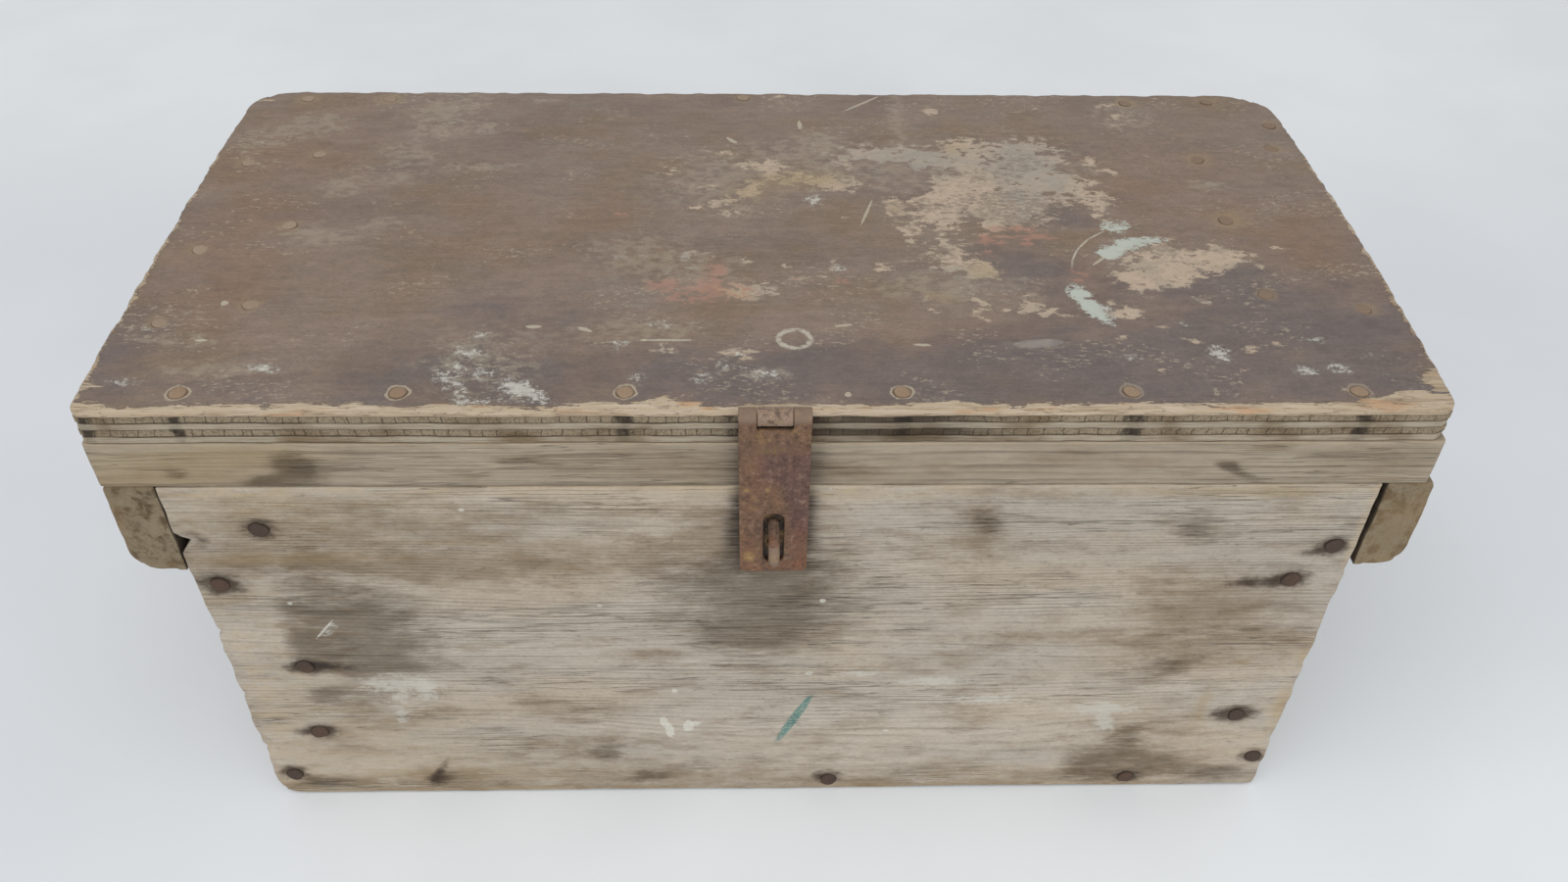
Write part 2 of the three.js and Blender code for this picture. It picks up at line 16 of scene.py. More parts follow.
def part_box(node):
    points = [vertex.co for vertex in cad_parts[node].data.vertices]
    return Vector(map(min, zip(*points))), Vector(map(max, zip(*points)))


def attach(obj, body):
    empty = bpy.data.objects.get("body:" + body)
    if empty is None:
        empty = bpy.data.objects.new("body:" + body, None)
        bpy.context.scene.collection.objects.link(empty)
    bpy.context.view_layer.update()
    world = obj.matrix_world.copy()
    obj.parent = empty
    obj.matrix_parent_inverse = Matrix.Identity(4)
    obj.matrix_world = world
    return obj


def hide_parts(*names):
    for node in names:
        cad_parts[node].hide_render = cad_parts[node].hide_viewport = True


bl_info = {
    "name": "Carpenter's tool chest",
    "version": (1, 0, 0),
    "blender": (4, 5, 0),
    "location": "View3D > Sidebar > Chest",
    "description": "Weathered pine, worn paint and rusty iron for a nailed tool chest",
    "category": "Add Mesh",
}

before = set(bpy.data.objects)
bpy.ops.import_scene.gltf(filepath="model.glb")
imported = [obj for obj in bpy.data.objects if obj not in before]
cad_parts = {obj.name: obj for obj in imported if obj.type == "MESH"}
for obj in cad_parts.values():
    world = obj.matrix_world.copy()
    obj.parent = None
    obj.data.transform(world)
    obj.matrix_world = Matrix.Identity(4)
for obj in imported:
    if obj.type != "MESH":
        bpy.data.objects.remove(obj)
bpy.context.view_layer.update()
MM = 0.001
WELD = 1e-4  # millimetres within which two points are one
LATTICE = 32  # cells after which the random lattice repeats
NAIL_DIMPLE, NAIL_SINK = 6.5, 0.7  # radius and depth of the dimple round a nail, in millimetres
NAIL_STAIN = 4.8  # radius of the iron stain round a nail
TIGHT = 0.35  # share of an arris's radius where it lies against another board


# Sizes and colours that a user would change


def linear(value):
    """An sRGB hex value as linear red, green, blue and alpha: below 0.04045 the sRGB curve is a
    straight line, and above it a power of 2.4."""
    parts = np.array([int(value[i : i + 2], 16) / 255 for i in (1, 3, 5)])
    parts = np.where(parts <= 0.04045, parts / 12.92, ((parts + 0.055) / 1.055) ** 2.4)
    return (*parts.tolist(), 1.0)


def length(name, description, default):
    """A length in millimetres, as a property."""
    return bpy.props.FloatProperty(name=name, description=description, default=default, min=0.0)


def colour(name, description, default):
    """A colour property, from an sRGB hex value."""
    return bpy.props.FloatVectorProperty(
        name=name, description=description, default=linear(default), size=4, min=0.0, max=1.0,
        subtype="COLOR",
    )


class ChestSizes(bpy.types.PropertyGroup):
    """Millimetres that the frame doesn't fix."""

    board_step: length("Board step", "Distance between the points of a board's face", 2.2)
    plain_step: length("Plain step", "Distance between the points of a hidden board", 4.0)
    arris: length("Arris", "Radius that wear has given the edge of a board", 1.4)
    ragged: length("Ragged ends", "How far the ends of the front board are broken back", 2.2)
    relief: length("Relief", "Depth of the hollows that weather has cut in a board", 0.45)
    plies: bpy.props.IntProperty(
        name="Plies", description="Layers in the plywood of the lid", default=5, min=1
    )
    ply_recess: length("Ply recess", "How far the cross plies have worn back", 0.6)
    torn_width: length("Torn width", "Width of the torn strip along the front of the lid", 5.0)
    torn_depth: length("Torn depth", "Depth of the torn strip at the edge of the lid", 2.8)
    nail_head: length("Nail head", "Radius of a nail's head", 4.0)
    nail_shank: length("Nail shank", "Radius of a nail's shank", 1.5)
    sheet: length("Sheet", "Thickness of the hasp and the hinges", 2.0)
    roll: length("Roll", "Radius at the middle of the sheet where it is rolled round a pin", 3.0)
    gap: length("Gap", "Play between two knuckles", 0.3)


class ChestColours(bpy.types.PropertyGroup):
    """sRGB hex values, as the finished surface shows them in plain daylight."""

    pine: colour("Pine", "Earlywood of the front board", "#bab0a2")
    pine_line: colour("Pine line", "Latewood lines of the front board", "#857868")
    rim: colour("Rim", "Earlywood of the rim of the lid", "#a69986")
    rim_line: colour("Rim line", "Latewood lines of the rim", "#75685a")
    inside: colour("Inside", "Bare pine inside the chest", "#b59f7e")
    inside_line: colour("Inside line", "Latewood lines inside the chest", "#937a58")
    handle: colour("Handle", "End grain and faces of the handles", "#84765f")
    handle_line: colour("Handle line", "Latewood of the handles", "#6a5b47")
    stain: colour("Stain", "Grey water stain, as a share of the wood's colour", "#bab3a9")
    soot: colour("Soot", "Black iron stain in wood", "#2b2422")
    pale: colour("Pale", "Pale chalky mark", "#cbc8be")
    paint: colour("Paint", "Brown mauve paint of the lid", "#877466")
    paint_dark: colour("Dark paint", "Darker clouds in the paint", "#706057")
    paint_grey: colour("Grey paint", "Greyer, dusty clouds in the paint", "#857b70")
    bare: colour("Bare", "Primer and wood where the paint is gone", "#bfab96")
    bare_grey: colour("Grey bare", "Dirty bare wood", "#a29685")
    salmon: colour("Salmon", "Traces of salmon paint", "#ad806d")
    aqua: colour("Aqua", "Traces of aqua paint", "#c3cabf")
    teal: colour("Teal", "Brush stroke on the front", "#45807a")
    white: colour("White", "Drops of white paint", "#dcdacf")
    ply_long: colour("Long ply", "Ply cut along its grain", "#aa9e8b")
    ply_cross: colour("Cross ply", "Ply cut across its grain", "#978872")
    torn: colour("Torn", "Fresh torn wood", "#b9a78e")
    rust: colour("Rust", "Brown rust of the hasp", "#735641")
    rust_violet: colour("Violet rust", "Older, darker rust", "#5e4240")
    rust_ochre: colour("Ochre rust", "Yellow rust", "#8a6c45")
    rust_orange: colour("Orange rust", "Fresh orange rust", "#7d4e37")
    iron: colour("Iron", "Worn iron of the wire", "#826a5a")
    nail: colour("Nail", "Nail heads of the body", "#483a31")
    lid_nail: colour("Lid nail", "Rubbed nail heads of the lid", "#9c846d")


class ChestStage(bpy.types.PropertyGroup):
    """Camera, lamps and floor."""

    camera_place: bpy.props.FloatVectorProperty(
        name="Camera", description="Place of the camera", default=(-0.01228, -0.55938, 0.6253),
        subtype="XYZ", unit="LENGTH",
    )
    camera_turn: bpy.props.FloatVectorProperty(
        name="Turn", description="How far the camera looks right, down and leans over",
        default=(math.radians(1.961), math.radians(41.445), math.radians(1.172)), unit="ROTATION",
    )
    lens: bpy.props.FloatProperty(
        name="Lens", description="Focal length", default=30.12, unit="CAMERA"
    )
    sky: bpy.props.FloatProperty(name="Sky", description="Strength of the even light", default=0.62)
    box_light: bpy.props.FloatProperty(
        name="Soft box", description="Power of the soft box over the front", default=10.0,
        unit="POWER",
    )
    fill_light: bpy.props.FloatProperty(
        name="Fill", description="Power of the low fill in front", default=13.0, unit="POWER"
    )
    floor: colour("Floor", "Pale floor", "#e8ecf1")
    backdrop: colour("Backdrop", "What is seen past the floor", "#dbe1e6")


# Shapes


def unit(values):
    """Values kept between 0 and 1."""
    return np.clip(values, 0, 1)


def box_of(*names):
    """Lowest and highest corner of some CAD nodes together, in millimetres."""
    corners = [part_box(name) for name in names]
    lows = np.array([low for low, _ in corners]) / MM
    highs = np.array([high for _, high in corners]) / MM
    return lows.min(axis=0), highs.max(axis=0)


def cloud(points, size, seed, octaves=2):
    """A smooth random value from 0 to 1 at each point. Random numbers stand on a lattice whose
    cells measure `size` along each axis, and a point blends the eight round it by the smoothstep
    of its place in the cell. Each octave halves the cells and the weight."""
    total, weight_sum = np.zeros(len(points)), 0.0
    for octave in range(octaves):
        table = np.random.default_rng(seed + 101 * octave).random((LATTICE,) * 3)
        place = points * 2**octave / np.asarray(size, float)
        cell = np.floor(place).astype(int)
        part = place - cell
        part = part * part * (3 - 2 * part)
        value = np.zeros(len(points))
        for corner in itertools.product((0, 1), repeat=3):
            share = np.where(corner, part, 1 - part).prod(axis=1)
            i, j, k = ((cell + corner) % LATTICE).T
            value += share * table[i, j, k]
        total += value / 2**octave
        weight_sum += 1 / 2**octave
    return total / weight_sum


def stations(low, high, step, close):
    """Places along one side of a board: one every step, and closer ones within `close` of both
    ends, where the arris turns."""
    shares = np.array([0.0, 0.16, 0.38, 0.66, 1.0]) * close
    count = max(2, round((high - low - 2 * close) / step) + 1)
    even = np.linspace(low + close, high - close, count)
    return np.concatenate([low + shares[:-1], even, high - shares[:-1][::-1]])


def grid_faces(rows, columns, closed=False):
    """The quads of a grid of points numbered row by row. A closed grid joins its last column to
    its first."""
    number = np.arange(rows * columns).reshape(rows, columns)
    if closed:
        number = np.concatenate([number, number[:, :1]], axis=1)
    a, b = number[:-1, :-1], number[:-1, 1:]
    c, d = number[1:, 1:], number[1:, :-1]
    return np.stack([a, b, c, d], axis=-1).reshape(-1, 4)


def weld(points, quads):
    """Joins points that lie on each other. A quad that loses a corner becomes a triangle, and one
    that loses more is dropped. Also gives the number of each point that is kept."""
    keys = np.round(points / WELD).astype(np.int64)
    _, first, number = np.unique(keys, axis=0, return_index=True, return_inverse=True)
    quads = number.reshape(-1)[quads]
    same = quads == np.roll(quads, -1, axis=1)
    short = same.sum(axis=1) == 1
    triangles = quads[short][~same[short]].reshape(-1, 3)
    return points[first], [quads[~same.any(axis=1)], triangles], first


def box_skin(lines):
    """A box as six grids, one to a face, whose lines stand at the given stations of each axis.
    A face is the two parameters of its own plane, at the first or last station of the third."""
    points, quads, count = [], [], 0
    for axis, high in itertools.product(range(3), (False, True)):
        first, second = (axis + 1) % 3, (axis + 2) % 3
        u, v = np.meshgrid(lines[first], lines[second], indexing="ij")
        grid = np.empty(u.shape + (3,))
        grid[..., first], grid[..., second] = u, v
        grid[..., axis] = lines[axis][-1 if high else 0]
        faces = grid_faces(*u.shape)
        quads.append(count + (faces[:, ::-1] if high else faces))
        points.append(grid.reshape(-1, 3))
        count += u.size
    return weld(np.concatenate(points), np.concatenate(quads))


def ease_arrises(points, low, high, radius):
    """Rounds a box's edges and corners. A point is measured from the nearest point of a box that
    is smaller by the radius all round, and is set at the radius from it. Also gives the outward
    direction there, and how near the point is to the middle of an arris, from 0 to 1."""
    radius = np.broadcast_to(radius, len(points))[:, None]
    core = np.clip(points, low + radius, high - radius)
    away = points - core
    reach = np.linalg.norm(away, axis=1, keepdims=True)
    outward = away / np.maximum(reach, 1e-9)
    edge = (1 - np.abs(outward).max(axis=1)) / (1 - math.sqrt(0.5))
    return core + outward * radius, outward, unit(edge)


def round_corner(points, axes, corner, inward, radius):
    """Rounds one upright corner of a board. In the square of the radius at the corner, a point
    keeps its direction from the square's inner corner, and its greater offset becomes its
    distance, so the square's sides turn into an arc."""
    a, b = axes
    u = (points[:, a] - corner[0]) * inward[0]
    v = (points[:, b] - corner[1]) * inward[1]
    inside = (u < radius) & (v < radius)
    du, dv = radius - u, radius - v
    shrink = np.maximum(du, dv) / np.maximum(np.hypot(du, dv), 1e-9)
    shrink = np.where(inside, shrink, 1.0)
    moved = points.copy()
    moved[:, a] = np.where(inside, corner[0] + inward[0] * (radius - du * shrink), points[:, a])
    moved[:, b] = np.where(inside, corner[1] + inward[1] * (radius - dv * shrink), points[:, b])
    return moved


def marks(points, axes, patches):
    """How far each point lies in a set of soft oval patches, each given by its middle, its two
    half lengths, its strength and, where it is turned, the angle of the first. A patch is its
    strength times a bell curve that is a half on the oval's rim. The patches are added up, those
    of a strength below 0 take away, and the sum is kept between -1 and 1."""
    total = np.zeros(len(points))
    for x, y, half_x, half_y, strength, *turned in patches:
        angle = math.radians(sum(turned))
        c, s = math.cos(angle), math.sin(angle)
        dx, dy = points[:, axes[0]] - x, points[:, axes[1]] - y
        distance = ((dx * c + dy * s) / half_x) ** 2 + ((dy * c - dx * s) / half_y) ** 2
        total += strength * 0.5**distance
    return np.clip(total, -1, 1)


def nearest(points, places):
    """Distance from each point to the nearest of some places."""
    best = np.full(len(points), 1e6)
    for place in places:
        best = np.minimum(best, np.linalg.norm(points - place, axis=1))
    return best


def new_mesh(name, points, faces, finishes):
    """A mesh from points in millimetres and faces as arrays of three or four point numbers."""
    mesh = bpy.data.meshes.new(name)
    corners = itertools.chain(*(group.tolist() for group in faces))
    mesh.from_pydata((points * MM).tolist(), [], list(corners))
    for finish in finishes:
        mesh.materials.append(finish)
    return mesh


def link_piece(name, mesh, body, slot, stands_for):
    """Makes a mesh a piece that rides on a body and hides CAD nodes. The slot is not used."""
    piece = bpy.data.objects.new(name, mesh)
    bpy.context.scene.collection.objects.link(piece)
    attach(piece, body)
    if stands_for:
        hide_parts(*stands_for)
    return piece


def make_piece(name, points, faces, finishes, body, slot, fields, zones=None, stands_for=()):
    """Makes one piece of the chest from arrays: its points and faces, values at the points for
    the finishes to read, and the number of each face's finish."""
    mesh = new_mesh(name, points, faces, finishes)
    for field, values in fields.items():
        layer = mesh.attributes.new(field, "FLOAT", "POINT")
        layer.data.foreach_set("value", np.asarray(values, np.float32))
    if zones is not None:
        mesh.polygons.foreach_set("material_index", np.asarray(zones, np.int32))
    mesh.shade_smooth()
    mesh.update()
    return link_piece(name, mesh, body, slot, stands_for)


def ease_edges(piece, width, angle):
    """Rounds the edges that turn by more than an angle, so many millimetres wide."""
    bevel = piece.modifiers.new("arrises", "BEVEL")
    bevel.width, bevel.segments, bevel.limit_method = width * MM, 2, "ANGLE"
    bevel.angle_limit = math.radians(angle)


class Board:
    """A worn board in the place of a CAD node: its skin, outward directions and arrises. The
    radius of an arris varies from 0.65 to 1.55 of the given one, and is a third of that where
    the board is tight against another."""

    def __init__(self, low, high, step, arris, seed, tight=None):
        self.low, self.high, self.seed = low, high, seed
        close = 2.4 * arris  # width of the closer lines, which hold the largest radius
        lines = [stations(low[i], high[i], step, close) for i in range(3)]
        flat, self.faces, _ = box_skin(lines)
        worn = arris * (0.65 + 0.9 * cloud(flat, (16, 16, 16), seed))
        if tight is not None:
            worn = np.where(tight(flat), TIGHT * worn, worn)
        self.points, self.outward, self.edge = ease_arrises(flat, low, high, worn)
        self.flat = flat

    def sink(self, depth):
        """Moves the skin inwards by a depth at each point."""
        self.points -= self.outward * np.asarray(depth)[:, None]

    def weather(self, relief, grain):
        """Long shallow hollows along the grain, cut inwards only."""
        size = np.full(3, 9.0)
        size[grain] = 160.0
        hollow = cloud(self.flat, size, self.seed + 1, octaves=3)
        self.sink(relief * hollow)

    def break_ends(self, axis, depth, reach, size, share=1.0):
        """Wavy broken ends: near both ends of an axis, a point moves inwards by a random depth
        that changes along the end but hardly through the board, times a share at each point."""
        wave = cloud(self.flat, size, self.seed + 2, octaves=3)
        for end, inward in ((self.low[axis], 1), (self.high[axis], -1)):
            near = unit(1 - np.abs(self.flat[:, axis] - end) / reach) ** 2
            self.points[:, axis] += inward * near * share * depth * unit(1.6 * wave - 0.3)


# Finishes


MAP, NOISE, MIX = "ShaderNodeMapping", "ShaderNodeTexNoise", "ShaderNodeMix"
MATH, VECTOR, RANGE = "ShaderNodeMath", "ShaderNodeVectorMath", "ShaderNodeMapRange"
FIELD, VORONOI = "ShaderNodeAttribute", "ShaderNodeTexVoronoi"
RAMP = RANGE, {"interpolation_type": "SMOOTHSTEP"}
TIMES, PLUS, LESS, TIMES_PLUS, GREATER, WHOLE, PART, SIZE = (
    (MATH, {"operation": operation})
    for operation in (
        "MULTIPLY", "ADD", "SUBTRACT", "MULTIPLY_ADD", "MAXIMUM", "FLOOR", "FRACT", "ABSOLUTE",
    )
)

QUARTER = math.pi / 2
ALONG_X = (0.0, 0.0, 0.0)
ALONG_Y = (0.0, 0.0, QUARTER)  # turns a board's Y to the grain's X
ALONG_Z = (0.0, QUARTER, 0.0)  # turns a board's Z to the grain's X
THROUGH = 1e6  # half length of a painted oval into the wood, so that depth doesn't count


def add(tree, kind, *values, sockets=None, **settings):
    """Adds a shader node of a kind, which may bring its own settings. The values go to its sockets
    in order, and `sockets` to those it names: a number, a hex colour, or the first output of
    another node."""
    if isinstance(kind, tuple):
        kind, settings = kind
    made = tree.nodes.new(kind)
    for setting, value in settings.items():
        setattr(made, setting, value)
    in_use = [socket for socket in made.inputs if socket.enabled]
    by_name = {socket.name: socket for socket in in_use}
    pairs = list(zip(in_use, values))
    pairs += [(by_name[name], value) for name, value in (sockets or {}).items()]
    for socket, value in pairs:
        if isinstance(value, str):
            value = linear(value)
        if isinstance(value, bpy.types.Node):
            value = next(output for output in value.outputs if output.enabled)
        if isinstance(value, bpy.types.NodeSocket):
            tree.links.new(value, socket)
        else:
            socket.default_value = value
    return made


class Finish:
    """A material in the making: its tree, and place in millimetres with the grain along X."""

    def __init__(self, name, turn=ALONG_X):
        self.material = bpy.data.materials.new(name)
        self.material.use_nodes = True
        self.tree = self.material.node_tree
        self.tree.nodes.clear()
        at = self.add("ShaderNodeTexCoord").outputs["Object"]
        self.place = self.add(MAP, at, (0.0, 0.0, 0.0), turn, (1 / MM,) * 3)

    def add(self, kind, *values, sockets=None, **settings):
        """A node in this finish's tree."""
        return add(self.tree, kind, *values, sockets=sockets, **settings)

    def streaks(self, long, wide, detail=3.0, roughness=0.55, shift=0):
        """Random streaks, so long along the grain and so wide across it, in millimetres."""
        size = (1 / long, 1 / wide, 1 / wide)
        scaled = self.add(MAP, self.place, (shift,) * 3, (0.0, 0.0, 0.0), size)
        return self.add(NOISE, scaled, 1.0, detail, roughness)

    def ragged(self, field, edge, roughness, soft):
        """Where a field of the mesh is over a half, with its rim broken up by a random value.
        Nothing shows where the field has faded out."""
        value = self.add(FIELD, attribute_name=field).outputs["Fac"]
        broken = self.add(TIMES_PLUS, edge, roughness, value)
        middle = 0.5 + roughness / 2
        mask = self.add(RAMP, broken, middle - soft, middle + soft)
        near = self.add(RAMP, value, 0.04, 0.3)
        return self.add(TIMES, mask, near)

    def oval(self, x, other, half_x, half_other, angle=0.0, upright=False):
        """How many times its own half lengths a point is away from the middle of an oval drawn
        on a face, which is seen from the front where upright and else from above."""
        turn = math.radians(angle)
        if upright:
            middle, size, way = (x, 0.0, other), (half_x, THROUGH, half_other), (0.0, -turn, 0.0)
        else:
            middle, size, way = (x, other, 0.0), (half_x, half_other, THROUGH), (0.0, 0.0, turn)
        local = self.add(MAP, self.place, middle, way, size, vector_type="TEXTURE")
        return self.add(VECTOR, local, operation="LENGTH").outputs["Value"]

    def drop(self, *shape, edge, rough=0.9, upright=False):
        """A crisp drop or stroke: an oval whose rim is broken by a random value."""
        away = self.add(TIMES_PLUS, edge, rough, self.oval(*shape, upright=upright))
        return self.add(RAMP, away, 0.95 + rough / 2, 1.05 + rough / 2, 1.0, 0.0)

    def lay(self, under, over, mask, strength=1.0, blend="MIX"):
        """Lays a colour over another where the mask is."""
        if strength < 1.0:
            mask = self.add(TIMES, mask, strength)
        return self.add(MIX, mask, under, over, data_type="RGBA", blend_type=blend)
    def mark(self, under, over, field, edge, roughness, soft, strength=1.0, blend="MIX"):
        """Lays a colour where a field of the mesh has it, its rim broken by a random value."""
        return self.lay(under, over, self.ragged(field, edge, roughness, soft), strength, blend)
    def patchy(self, under, over, value, low, high, strength=1.0, blend="MIX"):
        """Lays a colour in soft clouds, where a random value rises from one limit to another."""
        return self.lay(under, over, self.add(RAMP, value, low, high), strength, blend)

    def shade(self, under, value, low, high):
        """Makes a colour darker or lighter with a random value, between two shares of itself."""
        share = self.add(RAMP, value, 0.25, 0.75, low, high)
        return self.add(VECTOR, under, share, operation="SCALE")

    def close(self, colour, height, depth, roughness, metallic=0.0, specular=0.35):
        """The shader: colour, a bump so many millimetres deep, roughness and metal."""
        bump = self.add("ShaderNodeBump", sockets={"Height": height, "Distance": depth * MM})
        bump.inputs["Strength"].default_value = 1.0
        parts = {"Base Color": colour, "Roughness": roughness, "Metallic": metallic, "Normal": bump}
        shader = self.add("ShaderNodeBsdfPrincipled", sockets=parts)
        shader.inputs["Specular IOR Level"].default_value = specular
        self.add("ShaderNodeOutputMaterial", shader)
        return self.material


def pine(f, early, late, pith, ring, line=1.0, swing=22.0, checks=(0.55, 0.38)):
    """Sawn and weathered pine. Each ring is a whole number of ring widths from a pith line that
    runs along the grain outside the board and wanders, so a face shows straight lines far from
    the pith and pointed arches near it, and an end shows arcs. Latewood darkens slowly and ends
    sharply. Gives the colour and the height, where latewood stands proud and checks sink."""
    slow = f.add(MAP, f.place, (0.0,) * 3, (0.0,) * 3, (1 / 420, 1 / 95, 1 / 95))
    wander = f.add(NOISE, slow, 1.0, 1.6).outputs["Color"]
    swung = f.add(VECTOR, wander, (0.0, swing, swing), f.place, operation="MULTIPLY_ADD")
    offset = (0.0, -pith[0] - swing / 2, -pith[1] - swing / 2)
    across = f.add(VECTOR, swung, (0.0, 1.0, 1.0), offset, operation="MULTIPLY_ADD")
    reach = f.add(VECTOR, across, operation="LENGTH").outputs["Value"]
    shiver = f.streaks(46, 5, detail=2)
    rings = f.add(TIMES_PLUS, reach, 1 / ring, shiver)
    part = f.add(PART, rings)
    slope = f.add(RAMP, part, 0.4, 0.88)
    fall = f.add(RAMP, part, 0.9, 1.0, 1.0, 0.0)
    chance = f.add("ShaderNodeTexWhiteNoise", f.add(WHOLE, rings), noise_dimensions="1D")
    weight = f.add(RANGE, chance.outputs["Value"], 0.0, 1.0, 0.2, 1.0)
    latewood = f.add(TIMES, f.add(TIMES, slope, fall), weight)

    fibre = f.streaks(19, 0.66, detail=5, roughness=0.66)
    patchy = f.streaks(70, 16, detail=3, shift=40)
    strength = f.add(RAMP, patchy, 0.36, 0.64, 0.3 * line, line)
    wood = f.lay(early, late, f.add(TIMES, latewood, strength))
    wood = f.shade(wood, fibre, 0.92, 1.07)
    wood = f.shade(wood, f.streaks(160, 26, detail=3, shift=55), 0.92, 1.08)

    vein = f.streaks(95, 2.6, detail=2, shift=11)
    near = f.add(SIZE, f.add(LESS, vein, 0.5))
    thin = f.add(RAMP, near, 0.003, 0.012, 1.0, 0.0)
    spread = f.streaks(120, 22, detail=2, shift=73)
    here = f.add(RAMP, spread, checks[0], checks[0] + 0.08)
    check = f.add(TIMES, thin, here)
    wood = f.lay(wood, "#44392e", check, checks[1])

    height = f.add(TIMES_PLUS, latewood, 0.55, fibre)
    height = f.add(TIMES_PLUS, check, -2.4 * checks[1], height)
    return wood, height, fibre


def weather(f, wood, colours, smear, broken=1.0):
    """What years outdoors add to pine: brown and grey water stains that let the grain through,
    yellowed bands, dark joints, and black iron stains that run along the grain, with a painted
    shadow, broken up like stain, beside and under the hasp's strap. `broken` is how far the rims
    of the stains are broken up: 1 where each has its own shape, less where they are soft clouds."""
    grime = f.streaks(17, 1.3, detail=4, roughness=0.6, shift=61)
    cloudy = f.streaks(22, 8.5, detail=8, roughness=0.68, shift=14)
    spread = f.streaks(7, 4, detail=6, roughness=0.66, shift=71)
    wood = f.mark(wood, "#a9936f", "yellow", smear, 1.8 * broken, 0.45, 0.5)
    wood = f.mark(wood, "#c2b6a4", "smudge", cloudy, 3.2 * broken, 0.9, 0.85, "MULTIPLY")
    rim = 3.0 * broken, 0.6 * broken
    wood = f.mark(wood, colours.stain, "stain", cloudy, *rim, 0.78, "MULTIPLY")
    wood = f.mark(wood, "#a39e98", "stain", grime, 3.6 * broken, 0.5, 0.45, "MULTIPLY")
    wood = f.patchy(wood, "#7d7062", grime, 0.60, 0.74, 0.16)
    # Painted shadow beside and under the hasp's strap, made uneven by the grime so that it also
    # reads as stain
    shadow = f.add(FIELD, attribute_name="strap_shadow_and_stain").outputs["Fac"]
    uneven = f.add(RANGE, grime, 0.35, 0.6, 0.5, 0.95)
    wood = f.lay(wood, "#41372f", f.add(TIMES, shadow, uneven))
    wood = f.mark(wood, "#8a7a6d", "iron", spread, 2.2, 0.8, 1.0, "MULTIPLY")
    return f.mark(wood, colours.soot, "iron", spread, 1.4, 0.4, 0.42)


def weathered_pine(colours, name, marked):
    """Grey weathered pine of the front, planed once and roughened since. Matt, with raised
    latewood that gives the eye fine level lines, and soft brown and grey water stains."""
    f = Finish(name)
    wood, height, fibre = pine(
        f, colours.pine, colours.pine_line, pith=(-66.0, 22.0), ring=2.0, line=0.66, swing=30.0,
        checks=(0.49, 0.46),
    )
    smear = f.streaks(17, 5.0, detail=8, roughness=0.68, shift=5)
    blotch = f.streaks(40, 11, detail=8, roughness=0.66, shift=90)
    wood = f.patchy(wood, "#b7a184", f.streaks(130, 48, detail=2, shift=33), 0.44, 0.66, 0.3)
    wood = f.patchy(wood, "#c1b6a8", blotch, 0.46, 0.72, 0.75, "MULTIPLY")
    wood = f.shade(wood, f.streaks(9, 4, detail=6, roughness=0.7, shift=47), 0.92, 1.07)
    wood = f.shade(wood, f.streaks(2.6, 1.7, detail=4, roughness=0.7, shift=52), 0.92, 1.07)
    fleck = f.streaks(7, 1.8, detail=5, roughness=0.7, shift=83)
    wood = f.patchy(wood, "#6b5f50", fleck, 0.58, 0.67, 0.42)
    wood = weather(f, wood, colours, smear, broken=1.0 if marked else 0.5)
    wood = f.mark(wood, "#c3af90", "rubbed", smear, 2.0, 0.3, 0.45)
    crumb = f.streaks(5.5, 3.0, detail=8, roughness=0.76, shift=31)
    wood = f.mark(wood, colours.pale, "chalk", crumb, 3.6, 0.3, 0.62)
    if marked:
        wood = front_drops(f, wood, colours)
    return f.close(wood, height, 0.42, f.add(RANGE, fibre, 0.2, 0.8, 0.78, 0.92))


# Small crisp marks, in millimetres: the middle, two half lengths, and the angle of the first.
# Those on the front give their height second, those on the lid their depth.
WHITE_DROPS = (
    (-57.5, 62.0, 2.2, 4.6, 10.0), (-54.8, 54.8, 2.2, 6.0, 4.0), (-45.0, 58.5, 2.8, 4.6, -8.0),
    (-41.5, 60.5, 2.8, 1.8), (-51.0, 88.0, 1.4, 1.6), (22.0, 156.0, 1.5, 1.4),
    (-84.0, 153.0, 1.3, 1.0), (-217.0, 137.0, 0.6, 8.5, -38.0), (-229.0, 156.0, 1.2, 1.2),
    (17.0, 101.5, 2.0, 1.5), (-140.0, 217.0, 1.6, 0.9), (59.0, 53.0, 1.7, 0.9),
)
TEAL_STROKE = (10.0, 64.0, 22.0, 2.5, 66.0)
LID_STROKES = (
    (52.0, 130.0, 14.5, 0.8, 41.0), (46.5, 12.0, 12.8, 0.7, 73.0), (29.0, -132.0, 1.5, 1.5),
    (-253.0, -94.0, 3.0, 1.0), (-251.0, -66.0, 1.8, 1.8), (-86.0, -86.0, 3.8, 1.2, -25.0),
    (-109.0, -84.0, 3.4, 1.2), (30.0, -83.0, 4.2, 0.9, 10.0), (64.0, -97.5, 3.8, 0.9, -4.0),
    (156.0, -31.0, 5.5, 0.7, 45.0), (-22.0, 86.0, 4.0, 1.4, -50.0), (-59.0, -94.0, 1.4, 0.9),
    (15.5, 104.0, 1.2, 5.0), (-49.0, -94.0, 12.0, 0.7),
)
LID_CRESCENT = (116.0, -96.5, 11.5, 3.0, 4.0)
# Rings left by tins: the middle, two half lengths, and where the line begins and ends, as shares
# of these lengths.
TIN_RINGS = ((7.5, -93.0, 8.2, 7.8, 0.68, 1.06), (188.0, -45.0, 47.0, 47.0, 0.987, 1.013))


